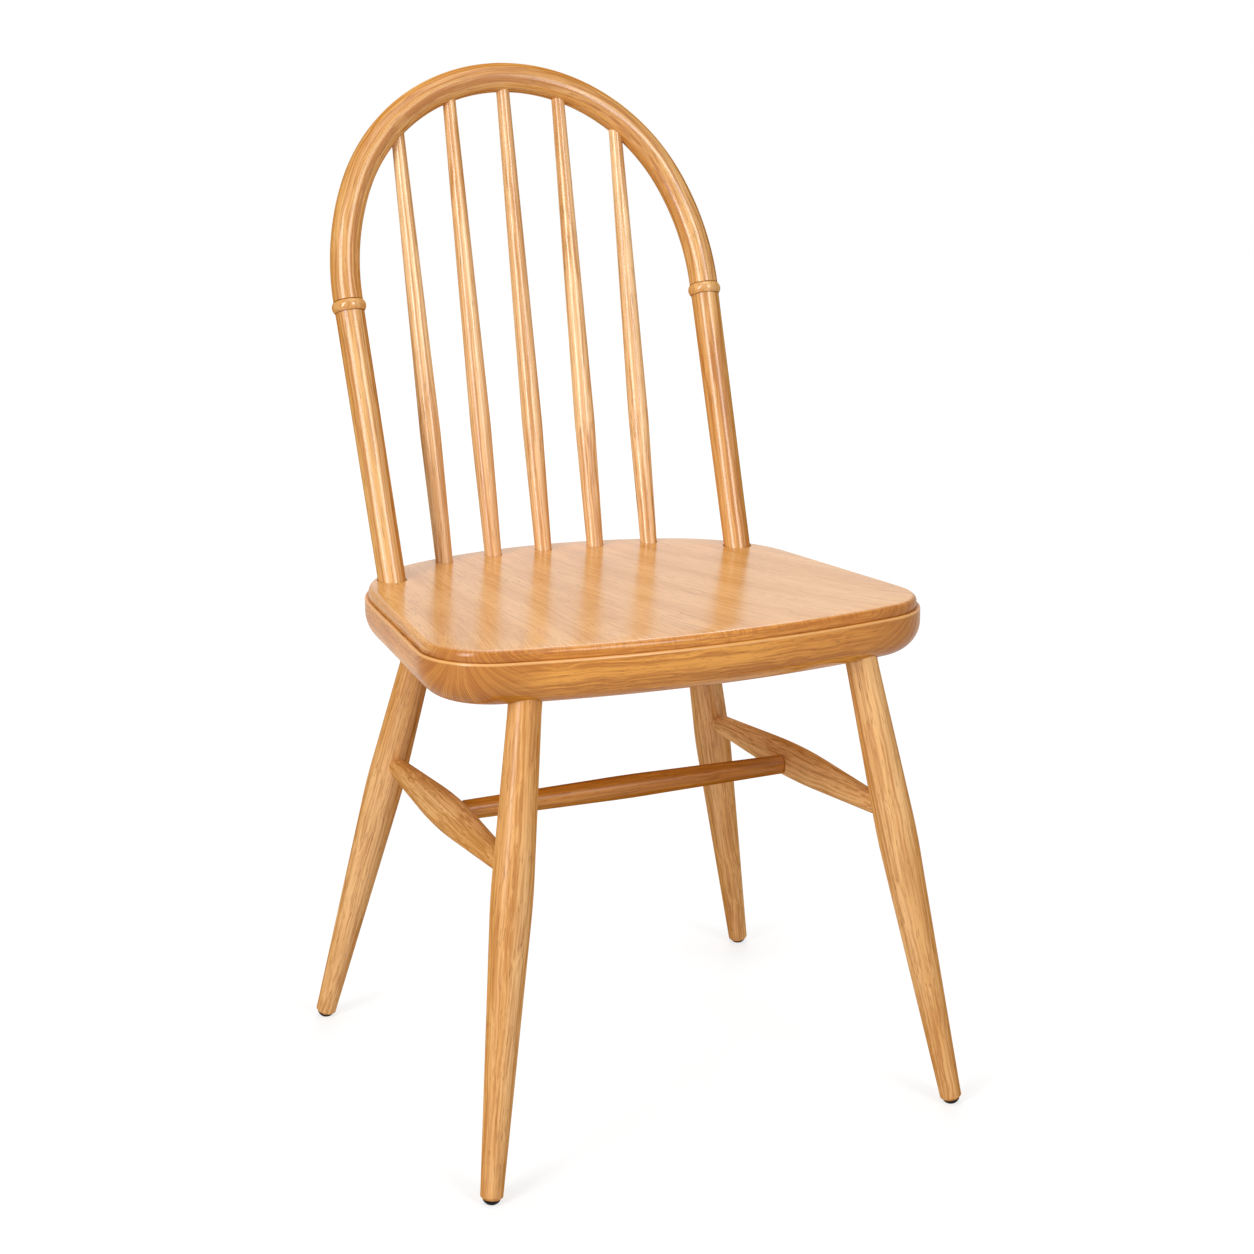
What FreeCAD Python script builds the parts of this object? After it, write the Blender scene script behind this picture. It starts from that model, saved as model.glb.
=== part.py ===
import FreeCAD, Part
import math
import os
from collections import namedtuple

import Sketcher
from FreeCAD import Vector

# A bow-backed Windsor dining chair in turned and bent wood, in millimetres.
# The floor is Z = 0, the sitter faces -Y and the chair is even about X = 0.
# Four splayed legs and two back posts stand in blind sockets in a solid seat.
# Three stretchers tie the legs, a bent bow closes the back over five spindles,
# and a turned collar hides each joint between a post and the bow.

SIZES = (
    ("seat_height", 445.0, "floor to the top of the seat"),
    ("seat_thickness", 49.0, "whole plank"),
    ("seat_step", 9.5, "raised field, above the ledge that runs round it"),
    ("seat_ledge", 3.5, "width of that ledge"),
    ("seat_front", 214.0, "origin to the middle of the field's front edge"),
    ("seat_back", 179.5, "origin to the middle of the field's back edge"),
    ("seat_side", 211.5, "origin square to the field's straight side"),
    ("seat_side_angle", 6.0, "degrees that each side closes in towards the back"),
    ("seat_front_radius", 820.0, "bow of the front edge"),
    ("seat_corner_radius", 60.0, "front corners"),
    ("seat_hip_radius", 130.0, "rear corners"),
    ("seat_back_radius", 330.0, "bow of the back edge"),
    ("seat_top_round", 5.0, "edge of the raised field"),
    ("seat_lip_round", 2.0, "edge of the ledge"),
    ("seat_belly_round", 27.0, "lower edge"),
    ("front_foot_x", 219.2, "front leg's axis at the floor"),
    ("front_foot_y", 245.5, "front leg's axis at the floor"),
    ("front_head_x", 156.1, "front leg's axis under the seat"),
    ("front_head_y", 179.0, "front leg's axis under the seat"),
    ("rear_foot_x", 226.0, "rear leg's axis at the floor"),
    ("rear_foot_y", 177.5, "rear leg's axis at the floor"),
    ("rear_head_x", 137.2, "rear leg's axis under the seat"),
    ("rear_head_y", 105.4, "rear leg's axis under the seat"),
    ("leg_foot_diameter", 18.8, "turned leg at its foot"),
    ("leg_foot_chamfer", 2.6, "edge of the foot"),
    ("leg_swell_diameter", 34.8, "thickest place of the leg"),
    ("leg_swell_rise", 252.0, "floor to that place, along the leg"),
    ("leg_swell_radius", 600.0, "curve of the swelling between two tapers"),
    ("leg_head_diameter", 27.8, "leg under the seat and in its socket"),
    ("leg_socket_depth", 30.0, "leg inside the seat"),
    ("stretcher_height", 262.5, "floor to the stretchers' axes"),
    ("side_tenon_diameter", 12.5, "side stretcher inside a leg"),
    ("side_tenon_stop", 4.0, "leg's axis to the tenon's end"),
    ("side_nose_diameter", 18.4, "side stretcher where its rounded end stops"),
    ("side_nose_length", 8.5, "rounded end"),
    ("side_nose_radius", 16.0, "rounded end's curve"),
    ("side_swell_diameter", 31.4, "middle of the side stretcher"),
    ("side_swell_radius", 790.0, "curve of its swelling"),
    ("cross_tenon_diameter", 12.0, "cross stretcher inside a side stretcher"),
    ("cross_tenon_stop", 3.0, "side stretcher's axis to the tenon's end"),
    ("cross_seat_depth", 1.6, "flat sunk in the swelling for the cross stretcher"),
    ("cross_end_diameter", 17.6, "ends of the cross stretcher"),
    ("cross_end_round", 2.5, "edge of its shoulders"),
    ("cross_swell_diameter", 21.4, "middle of the cross stretcher"),
    ("cross_swell_radius", 1500.0, "curve of its swelling"),
    ("back_rake", 19.2, "degrees that the bow leans back"),
    ("post_base_x", 174.6, "post's axis at the seat's top"),
    ("post_base_y", 89.0, "post's axis at the seat's top"),
    ("post_foot_diameter", 25.0, "post at the seat and in its socket"),
    ("post_head_diameter", 26.6, "post under the collar"),
    ("post_socket_depth", 34.0, "post inside the seat"),
    ("collar_x", 179.8, "middle of the collar"),
    ("collar_rise", 251.0, "seat's top to the middle of the collar, up the rake"),
    ("collar_height", 10.5, "between its two flat faces"),
    ("collar_bead_radius", 7.2, "rounded outside"),
    ("bow_diameter", 27.0, "bent rod"),
    ("bow_rise", 463.3, "seat's top to the rod's highest axis point, up the rake"),
    ("bow_side_angle", 25.6, "degrees that the rod bends above each collar before its crown"),
    ("bow_tenon_diameter", 18.0, "rod's end in the collar and the post"),
    ("bow_tenon_length", 42.0, "rod's end below its shoulder"),
    ("spindle_row_y", 153.6, "middle spindle's axis at the seat's top"),
    ("spindle_row_radius", 440.0, "curve of the row of spindles on the seat"),
    ("spindle_foot_spacing", 52.6, "spindle to spindle on the seat"),
    ("spindle_head_spacing", 55.2, "spindle to spindle at the bow"),
    ("spindle_foot_diameter", 16.0, "spindle at the seat and in its socket"),
    ("spindle_swell_diameter", 19.2, "thickest place of the spindle"),
    ("spindle_swell_rise", 120.0, "seat's top to that place, along the spindle"),
    ("spindle_swell_radius", 500.0, "curve of its swelling"),
    ("spindle_head_diameter", 12.4, "spindle at the bow and in its socket"),
    ("spindle_socket_depth", 28.0, "spindle inside the seat"),
    ("spindle_head_reach", 3.0, "spindle's end past the bow's axis"),
    ("glide_diameter", 14.3, "plastic glide under each foot"),
    ("glide_height", 3.5, "floor to the foot"),
    ("glide_rim", 0.5, "straight edge above the dome"),
    ("glide_dome_center", 7.1, "floor to the dome's centre"),
    ("nail_shank_diameter", 2.4, "nail that holds the glide"),
    ("nail_head_diameter", 7.0, "head moulded into the glide"),
    ("nail_head_height", 1.2, "head moulded into the glide"),
    ("nail_head_rise", 1.4, "floor to the head"),
    ("nail_length", 16.0, "shank inside the leg"),
    ("nail_clearance", 0.1, "on the diameter"),
    ("socket_clearance", 0.3, "on the diameter of every glued tenon"),
    ("post_clearance", 0.6, "on the diameter of a post in the seat"),
    ("socket_bottom_gap", 1.0, "past the end of every tenon"),
    ("shoulder_gap", 0.2, "side stretcher's shoulder to the leg"),
    ("tenon_chamfer", 1.0, "edge of every tenon"),
    ("land", 8.0, "straight length of a turned piece outside its socket"),
    ("bore_overrun", 14.0, "how far a boring tool starts outside the wood"),
)

SIDES = {"left": -1, "right": 1}
ROWS = {"front": -1, "rear": 1}
SPINDLES = {
    "spindle_outer_left": (-1, "outer"),
    "spindle_inner_left": (-1, "inner"),
    "spindle_centre": (0, "centre"),
    "spindle_inner_right": (1, "inner"),
    "spindle_outer_right": (1, "outer"),
}
SPINDLE_STEPS = {"centre": 0, "inner": 1, "outer": 2}
LEVEL_TOLERANCE = 0.01

# A run of a section goes from its station to the next one.
# A station without a bend starts a straight run.
Station = namedtuple("Station", "radius height bend", defaults=(None,))
Crown = namedtuple("Crown", "radius")
Swell = namedtuple("Swell", "diameter level radius")


def make_sheet(doc):
    """The driving dimensions, one row each: name, value, meaning."""
    sheet = doc.addObject("Spreadsheet::Sheet", "sizes")
    for row, (alias, value, meaning) in enumerate(SIZES, start=1):
        sheet.set(f"A{row}", alias)
        sheet.set(f"B{row}", str(value))
        sheet.set(f"C{row}", meaning)
        sheet.setAlias(f"B{row}", alias)
    doc.recompute()


def leg_formulas(row):
    """Where a leg meets its side stretcher, and how long its axis is up to the seat."""
    foot_x, foot_y = f"sizes.{row}_foot_x", f"sizes.{row}_foot_y"
    head_x, head_y = f"sizes.{row}_head_x", f"sizes.{row}_head_y"
    share = "sizes.stretcher_height / derived.underside"
    return {
        f"{row}_leg_run": f"sqrt(({foot_x} - {head_x})^2 + ({foot_y} - {head_y})^2 + derived.underside^2)",
        f"{row}_joint_x": f"{foot_x} + ({head_x} - {foot_x}) * {share}",
        f"{row}_joint_y": f"{foot_y} + ({head_y} - {foot_y}) * {share}",
        f"{row}_leg_slope": f"({foot_y} - {head_y}) / derived.underside",
    }


def stretcher_formulas():
    """Lengths between axes, and the side stretcher's shoulders clear of the leaning legs."""
    slope = "max(derived.front_leg_slope; derived.rear_leg_slope)"
    leg_reach = f"sizes.leg_swell_diameter / 2 * sqrt(1 + {slope}^2)"
    depth = "derived.front_joint_y + derived.rear_joint_y"
    return {
        "side_run": f"sqrt((derived.front_joint_x - derived.rear_joint_x)^2 + ({depth})^2)",
        "side_shoulder": f"{leg_reach} + sizes.side_tenon_diameter / 2 * {slope} + sizes.shoulder_gap",
        "cross_half": "(derived.front_joint_x + derived.rear_joint_x) / 2",
        "cross_y": "(derived.rear_joint_y - derived.front_joint_y) / 2",
        "cross_shoulder": "sizes.side_swell_diameter / 2 - sizes.cross_seat_depth",
    }


def bow_formulas():
    """The bow lies in a leaning plane: x across, rise up the rake from the seat's top.

    Its side bend starts along the post and its crown is level in the middle.
    Both radii follow from how far across and how far up the two bends together reach.
    """
    across = "(sizes.collar_x - sizes.post_base_x)"
    meeting = "(sizes.bow_side_angle - derived.post_lean)"
    side_x, side_rise = f"(cos(derived.post_lean) - cos({meeting}))", f"(sin(derived.post_lean) + sin({meeting}))"
    crown_x, crown_rise = f"cos({meeting})", f"(1 - sin({meeting}))"
    x, rise = "derived.bow_foot_x", "(sizes.bow_rise - derived.bow_foot_rise)"
    both = f"({side_x} * {crown_rise} - {side_rise} * {crown_x})"
    return {
        "post_lean": f"atan2({across}; sizes.collar_rise) / (1 deg)",
        "post_run": f"sqrt({across}^2 + sizes.collar_rise^2) - sizes.collar_height / 2",
        "bow_foot_x": "sizes.collar_x + sizes.collar_height / 2 * sin(derived.post_lean)",
        "bow_foot_rise": "sizes.collar_rise + sizes.collar_height / 2 * cos(derived.post_lean)",
        "bow_side_radius": f"({x} * {crown_rise} - {rise} * {crown_x}) / {both}",
        "bow_crown_radius": f"({side_x} * {rise} - {side_rise} * {x}) / {both}",
        "dome_radius": "sqrt((sizes.glide_diameter / 2)^2 + "
                       "(sizes.glide_dome_center - sizes.glide_height + sizes.glide_rim)^2)",
    }


def spindle_formulas(place, step):
    """Both ends of a spindle's axis and its length: on the seat's curved row and on the bow."""
    foot_x, head_x = f"{step} * sizes.spindle_foot_spacing", f"{step} * sizes.spindle_head_spacing"
    foot_y, head_rise = f"derived.{place}_foot_y", f"derived.{place}_head_rise"
    back = f"(sizes.post_base_y + {head_rise} * sin(sizes.back_rake) - {foot_y})"
    up = f"({head_rise} * cos(sizes.back_rake))"
    crown = "derived.bow_crown_radius"
    row = "sizes.spindle_row_radius"
    return {
        f"{place}_foot_y": f"sizes.spindle_row_y - {row} + sqrt({row}^2 - ({foot_x})^2)",
        f"{place}_head_rise": f"sizes.bow_rise - {crown} + sqrt({crown}^2 - ({head_x})^2)",
        f"{place}_run": f"sqrt(({head_x} - {foot_x})^2 + {back}^2 + {up}^2)",
    }


def make_derived(doc):
    """Places and lengths that follow from the driving dimensions, each by its formula."""
    formulas = {"underside": "sizes.seat_height - sizes.seat_thickness"}
    for row in ROWS:
        formulas.update(leg_formulas(row))
    formulas.update(stretcher_formulas())
    formulas.update(bow_formulas())
    for place, step in SPINDLE_STEPS.items():
        formulas.update(spindle_formulas(place, step))
    derived = doc.addObject("App::VarSet", "derived")
    for name in formulas:
        derived.addProperty("App::PropertyFloat", name, "Derived")
    for name, formula in formulas.items():
        derived.setExpression(name, formula)
    doc.recompute()


def number(doc, formula):
    """The present value of a formula, to start a sketch from."""
    value = doc.getObject("sizes").evalExpression(str(formula))
    return float(getattr(value, "Value", value))


def vector_formula(x, y, z):
    return f"create(<<vector>>; {x}; {y}; {z})"


def placement_formula(base, axis, angle):
    turn = f"create(<<rotation>>; {vector_formula(*axis)}; {angle})"
    return f"create(<<placement>>; {vector_formula(*base)}; {turn})"


def aim(piece, start, end):
    """Lay a piece's own Z axis from start towards end."""
    dx, dy, dz = (f"(({far}) - ({near}))" for near, far in zip(start, end))
    angle = f"atan2(sqrt({dx}^2 + {dy}^2); {dz})"
    piece.setExpression("Placement", placement_formula(start, (f"-{dy}", dx, 0), angle))


def ride(piece, carrier, rise):
    """Set a piece on another one's axis, that far along it."""
    shift = placement_formula((0, 0, rise), (0, 0, 1), 0)
    piece.setExpression("Placement", f"{carrier.Name}.Placement * {shift}")


def origin_plane(body, role):
    return next(item for item in body.Origin.OriginFeatures if item.Role == role)


def new_sketch(body, name, role):
    sketch = body.newObject("Sketcher::SketchObject", name)
    sketch.AttachmentSupport = (origin_plane(body, role), [""])
    sketch.MapMode = "FlatFace"
    return sketch


def bind(sketch, formula, kind, *where):
    """Add a dimension to a sketch and tie it to its formula."""
    value = number(sketch.Document, formula)
    if kind == "Angle":
        value = math.radians(value)
    index = sketch.addConstraint(Sketcher.Constraint(kind, *where, value))
    sketch.setExpression(f"Constraints[{index}]", formula)


def arc_about(center, radius, start, end):
    """Anticlockwise arc about a centre, from the direction of start to that of end."""
    first = math.atan2(start.y - center.y, start.x - center.x)
    last = math.atan2(end.y - center.y, end.x - center.x)
    if last < first:
        last += 2 * math.pi
    return Part.ArcOfCircle(Part.Circle(center, Vector(0, 0, 1), radius), first, last)


def crown_center(start, end, radius):
    """Centre of the arc of that radius that bulges to the right of the run."""
    chord = end - start
    rise = math.sqrt(radius ** 2 - chord.Length ** 2 / 4)
    return (start + end) / 2 + Vector(-chord.y, chord.x, 0) / chord.Length * rise


def touch_point(center, radius, outside, turn):
    """Where the tangent from an outside point touches the circle."""
    away = outside - center
    angle = math.atan2(away.y, away.x) + turn * math.acos(radius / away.Length)
    return center + Vector(math.cos(angle), math.sin(angle), 0) * radius


def draw_swell(sketch, swell, start, end):
    """Taper, curve and taper: the curve is tangent to both straight runs."""
    doc = sketch.Document
    level, radius = number(doc, swell.level), number(doc, swell.radius)
    reach = f"({swell.diameter}) / 2 - {swell.radius}"
    center = Vector(number(doc, reach), level, 0)
    low = touch_point(center, radius, start, 1)
    high = touch_point(center, radius, end, -1)
    first = sketch.addGeometry(Part.LineSegment(start, low))
    curve = sketch.addGeometry(arc_about(center, radius, low, high))
    last = sketch.addGeometry(Part.LineSegment(high, end))
    sketch.addConstraint(Sketcher.Constraint("Tangent", first, 2, curve, 1))
    sketch.addConstraint(Sketcher.Constraint("Tangent", curve, 2, last, 1))
    bind(sketch, swell.radius, "Radius", curve)
    bind(sketch, swell.level, "DistanceY", -1, 1, curve, 3)
    bind(sketch, reach, "DistanceX", -1, 1, curve, 3)
    return first, last


def draw_run(sketch, bend, start, end):
    """One run of a section. Gives its first and its last element."""
    if isinstance(bend, Swell):
        return draw_swell(sketch, bend, start, end)
    if isinstance(bend, Crown):
        radius = number(sketch.Document, bend.radius)
        center = crown_center(start, end, radius)
        arc = sketch.addGeometry(arc_about(center, radius, start, end))
        bind(sketch, bend.radius, "Radius", arc)
        return arc, arc
    line = sketch.addGeometry(Part.LineSegment(start, end))
    return line, line


def draw_section(sketch, stations):
    """A closed half section: radius to the right, height along the axis, anticlockwise."""
    doc = sketch.Document
    corners = [Vector(number(doc, s.radius), number(doc, s.height), 0) for s in stations]
    ends = corners[1:] + corners[:1]
    runs = [draw_run(sketch, s.bend, a, b) for s, a, b in zip(stations, corners, ends)]
    for station, before, after in zip(stations, runs[-1:] + runs[:-1], runs):
        sketch.addConstraint(Sketcher.Constraint("Coincident", before[1], 2, after[0], 1))
        if station.radius == 0:
            sketch.addConstraint(Sketcher.Constraint("PointOnObject", after[0], 1, -2))
        else:
            bind(sketch, station.radius, "DistanceX", -1, 1, after[0], 1)
        bind(sketch, station.height, "DistanceY", -1, 1, after[0], 1)


def turned_body(doc, name, stations):
    """A piece turned on a lathe, with its axis along its own Z."""
    body = doc.addObject("PartDesign::Body", name)
    section = new_sketch(body, f"{name}_section", "XZ_Plane")
    draw_section(section, stations)
    turning = body.newObject("PartDesign::Revolution", f"{name}_turning")
    turning.Profile = section
    turning.ReferenceAxis = (section, ["V_Axis"])
    turning.Angle = 360
    return body


def socket(maker, kind, name, carrier, start, end, diameter):
    """A bore along a piece's axis, from start to end, for what is on that axis."""
    bore = maker(kind, name)
    bore.setExpression("Radius", f"({diameter}) / 2")
    bore.setExpression("Height", f"({end}) - ({start})")
    ride(bore, carrier, start)
    return bore


def bored(doc, name, blank, tool, *others):
    """A blank with its bores taken out, as a piece of its own."""
    if others:
        bores = [tool, *others]
        tool = doc.addObject("Part::MultiFuse", f"{name}_bores")
        tool.Shapes = bores
    piece = doc.addObject("Part::Cut", f"{name}_bored")
    piece.Base = blank
    piece.Tool = tool
    return piece


def leg_blank(doc, row, side):
    """Turned leg from its foot to its blind end in the seat, with the nail's pilot hole."""
    run = f"derived.{row}_leg_run"
    foot, chamfer = "sizes.leg_foot_diameter / 2", "sizes.leg_foot_chamfer"
    head, top = "sizes.leg_head_diameter / 2", f"({run} + sizes.leg_socket_depth)"
    pilot = "(sizes.nail_shank_diameter + sizes.nail_clearance) / 2"
    pilot_end = "sizes.glide_height + sizes.nail_length + sizes.socket_bottom_gap"
    swell = Swell("sizes.leg_swell_diameter", "sizes.leg_swell_rise", "sizes.leg_swell_radius")
    body = turned_body(doc, f"{row}_{side}_leg_blank", (
        Station(0, pilot_end),
        Station(pilot, pilot_end),
        Station(pilot, "sizes.glide_height"),
        Station(f"{foot} - {chamfer}", "sizes.glide_height"),
        Station(foot, f"sizes.glide_height + {chamfer}", swell),
        Station(head, f"{run} - sizes.land"),
        Station(head, f"{top} - sizes.tenon_chamfer"),
        Station(f"{head} - sizes.tenon_chamfer", top),
        Station(0, top),
    ))
    sx, sy = SIDES[side], ROWS[row]
    foot_point = (f"{sx} * sizes.{row}_foot_x", f"{sy} * sizes.{row}_foot_y", "0")
    head_point = (f"{sx} * sizes.{row}_head_x", f"{sy} * sizes.{row}_head_y", "derived.underside")
    aim(body, foot_point, head_point)
    return body


def side_stretcher_blank(doc, side):
    """Swelled stretcher between a rear leg's axis and a front leg's, with rounded ends."""
    run, shoulder = "derived.side_run", "derived.side_shoulder"
    tenon, nose = "sizes.side_tenon_diameter / 2", "sizes.side_nose_diameter / 2"
    stop, chamfer = "sizes.side_tenon_stop", "sizes.tenon_chamfer"
    swell = Swell("sizes.side_swell_diameter", f"{run} / 2", "sizes.side_swell_radius")
    crown = Crown("sizes.side_nose_radius")
    body = turned_body(doc, f"{side}_side_stretcher_blank", (
        Station(0, stop),
        Station(f"{tenon} - {chamfer}", stop),
        Station(tenon, f"{stop} + {chamfer}"),
        Station(tenon, shoulder, crown),
        Station(nose, f"{shoulder} + sizes.side_nose_length", swell),
        Station(nose, f"{run} - {shoulder} - sizes.side_nose_length", crown),
        Station(tenon, f"{run} - {shoulder}"),
        Station(tenon, f"{run} - {stop} - {chamfer}"),
        Station(f"{tenon} - {chamfer}", f"{run} - {stop}"),
        Station(0, f"{run} - {stop}"),
    ))
    x = SIDES[side]
    rear = (f"{x} * derived.rear_joint_x", "derived.rear_joint_y", "sizes.stretcher_height")
    front = (f"{x} * derived.front_joint_x", "-derived.front_joint_y", "sizes.stretcher_height")
    aim(body, rear, front)
    return body


def cross_stretcher(doc):
    """Slim stretcher from the middle of one side stretcher to the other."""
    run, shoulder = "2 * derived.cross_half", "derived.cross_shoulder"
    tenon, end = "sizes.cross_tenon_diameter / 2", "sizes.cross_end_diameter / 2"
    stop, chamfer, edge = "sizes.cross_tenon_stop", "sizes.tenon_chamfer", "sizes.cross_end_round"
    swell = Swell("sizes.cross_swell_diameter", "derived.cross_half", "sizes.cross_swell_radius")
    body = turned_body(doc, "cross_stretcher", (
        Station(0, stop),
        Station(f"{tenon} - {chamfer}", stop),
        Station(tenon, f"{stop} + {chamfer}"),
        Station(tenon, shoulder),
        Station(f"{end} - {edge}", shoulder, Crown(edge)),
        Station(end, f"{shoulder} + {edge}", swell),
        Station(end, f"{run} - {shoulder} - {edge}", Crown(edge)),
        Station(f"{end} - {edge}", f"{run} - {shoulder}"),
        Station(tenon, f"{run} - {shoulder}"),
        Station(tenon, f"{run} - {stop} - {chamfer}"),
        Station(f"{tenon} - {chamfer}", f"{run} - {stop}"),
        Station(0, f"{run} - {stop}"),
    ))
    left = ("-derived.cross_half", "derived.cross_y", "sizes.stretcher_height")
    right = ("derived.cross_half", "derived.cross_y", "sizes.stretcher_height")
    aim(body, left, right)
    return body


def bore_leg(doc, row, side, blank, stretcher):
    """The side stretcher's socket in a leg: the rear end is the stretcher's start."""
    stop = "sizes.side_tenon_stop - sizes.socket_bottom_gap"
    outside = "derived.side_shoulder + sizes.bore_overrun"
    start, end = stop, outside
    if row == "front":
        start, end = f"derived.side_run - ({outside})", f"derived.side_run - ({stop})"
    diameter = "sizes.side_tenon_diameter + sizes.socket_clearance"
    bore = socket(doc.addObject, "Part::Cylinder", f"{row}_{side}_leg_bore", stretcher, start, end, diameter)
    return bored(doc, f"{row}_{side}_leg", blank, bore)


def bore_side_stretcher(doc, side, blank, cross):
    """The cross stretcher's socket, with the flat that its shoulder seats on."""
    tenon = "sizes.cross_tenon_diameter + sizes.socket_clearance"
    flat = "sizes.cross_end_diameter + sizes.socket_clearance"
    bores = []
    for part, diameter, inner in (
        ("tenon", tenon, "sizes.cross_tenon_stop - sizes.socket_bottom_gap"),
        ("flat", flat, "derived.cross_shoulder"),
    ):
        outside = "sizes.side_swell_diameter / 2 + sizes.bore_overrun"
        start, end = inner, outside
        if side == "right":
            start, end = f"2 * derived.cross_half - ({outside})", f"2 * derived.cross_half - ({inner})"
        name = f"{side}_side_stretcher_{part}_bore"
        bores.append(socket(doc.addObject, "Part::Cylinder", name, cross, start, end, diameter))
    return bored(doc, f"{side}_side_stretcher", blank, *bores)


def back_post(doc, side):
    """Straight turned post with the bow's socket bored down its head."""
    run, depth = "derived.post_run", "sizes.post_socket_depth"
    foot, head = "sizes.post_foot_diameter / 2", "sizes.post_head_diameter / 2"
    bore = "(sizes.bow_tenon_diameter + sizes.socket_clearance) / 2"
    bore_end = f"{run} + sizes.collar_height - sizes.bow_tenon_length - sizes.socket_bottom_gap"
    body = turned_body(doc, f"{side}_back_post", (
        Station(0, f"-{depth}"),
        Station(f"{foot} - sizes.tenon_chamfer", f"-{depth}"),
        Station(foot, f"-{depth} + sizes.tenon_chamfer"),
        Station(foot, "sizes.land"),
        Station(head, run),
        Station(bore, run),
        Station(bore, bore_end),
        Station(0, bore_end),
    ))
    x = SIDES[side]
    base = (f"{x} * sizes.post_base_x", "sizes.post_base_y", "sizes.seat_height")
    collar = (
        f"{x} * sizes.collar_x",
        "sizes.post_base_y + sizes.collar_rise * sin(sizes.back_rake)",
        "sizes.seat_height + sizes.collar_rise * cos(sizes.back_rake)",
    )
    aim(body, base, collar)
    return body


def collar(doc, side, post):
    """Turned ring over the bow's tenon, between the post's head and the bow's shoulder."""
    bore = "(sizes.bow_tenon_diameter + sizes.socket_clearance) / 2"
    edge = "sizes.post_head_diameter / 2"
    body = turned_body(doc, f"{side}_collar", (
        Station(bore, "0"),
        Station(edge, "0", Crown("sizes.collar_bead_radius")),
        Station(edge, "sizes.collar_height"),
        Station(bore, "sizes.collar_height"),
    ))
    ride(body, post, "derived.post_run")
    return body


def spindle(doc, name):
    """Slim spindle, thickest a hand above the seat, from the seat to the bow."""
    sign, place = SPINDLES[name]
    run, depth = f"derived.{place}_run", "sizes.spindle_socket_depth"
    foot, head = "sizes.spindle_foot_diameter / 2", "sizes.spindle_head_diameter / 2"
    chamfer, end = "sizes.tenon_chamfer", f"({run} + sizes.spindle_head_reach)"
    swell = Swell("sizes.spindle_swell_diameter", "sizes.spindle_swell_rise", "sizes.spindle_swell_radius")
    body = turned_body(doc, name, (
        Station(0, f"-{depth}"),
        Station(f"{foot} - {chamfer}", f"-{depth}"),
        Station(foot, f"-{depth} + {chamfer}"),
        Station(foot, "sizes.land / 2", swell),
        Station(head, f"{run} - sizes.bow_diameter / 2 - sizes.land"),
        Station(head, f"{end} - {chamfer}"),
        Station(f"{head} - {chamfer}", end),
        Station(0, end),
    ))
    step = sign * SPINDLE_STEPS[place]
    seat_end = (f"{step} * sizes.spindle_foot_spacing", f"derived.{place}_foot_y", "sizes.seat_height")
    bow_end = (
        f"{step} * sizes.spindle_head_spacing",
        f"sizes.post_base_y + derived.{place}_head_rise * sin(sizes.back_rake)",
        f"sizes.seat_height + derived.{place}_head_rise * cos(sizes.back_rake)",
    )
    aim(body, seat_end, bow_end)
    return body


def draw_bow_path(sketch):
    """Right half of the bow's axis: side bend from the collar, then the crown to the middle."""
    doc = sketch.Document
    lean, side = number(doc, "derived.post_lean"), number(doc, "derived.bow_side_radius")
    foot = Vector(number(doc, "derived.bow_foot_x"), number(doc, "derived.bow_foot_rise"), 0)
    inward = Vector(-math.cos(math.radians(lean)), math.sin(math.radians(lean)), 0)
    side_center = foot + inward * side
    crown = number(doc, "derived.bow_crown_radius")
    top = Vector(0, number(doc, "sizes.bow_rise"), 0)
    crown_middle = top - Vector(0, crown, 0)
    away = (crown_middle - side_center) / (crown_middle - side_center).Length
    meeting = crown_middle + away * crown
    upper = sketch.addGeometry(arc_about(crown_middle, crown, meeting, top))
    lower = sketch.addGeometry(arc_about(side_center, side, foot, meeting))
    sketch.addConstraint(Sketcher.Constraint("Tangent", lower, 2, upper, 1))
    sketch.addConstraint(Sketcher.Constraint("PointOnObject", upper, 3, -2))
    sketch.addConstraint(Sketcher.Constraint("PointOnObject", upper, 2, -2))
    bind(sketch, "sizes.bow_rise", "DistanceY", -1, 1, upper, 2)
    bind(sketch, "derived.bow_side_radius", "Radius", lower)
    bind(sketch, "derived.bow_foot_x", "DistanceX", -1, 1, lower, 1)
    bind(sketch, "derived.bow_foot_rise", "DistanceY", -1, 1, lower, 1)
    center_rise = "derived.bow_foot_rise + derived.bow_side_radius * sin(derived.post_lean)"
    bind(sketch, center_rise, "DistanceY", -1, 1, lower, 3)


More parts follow.
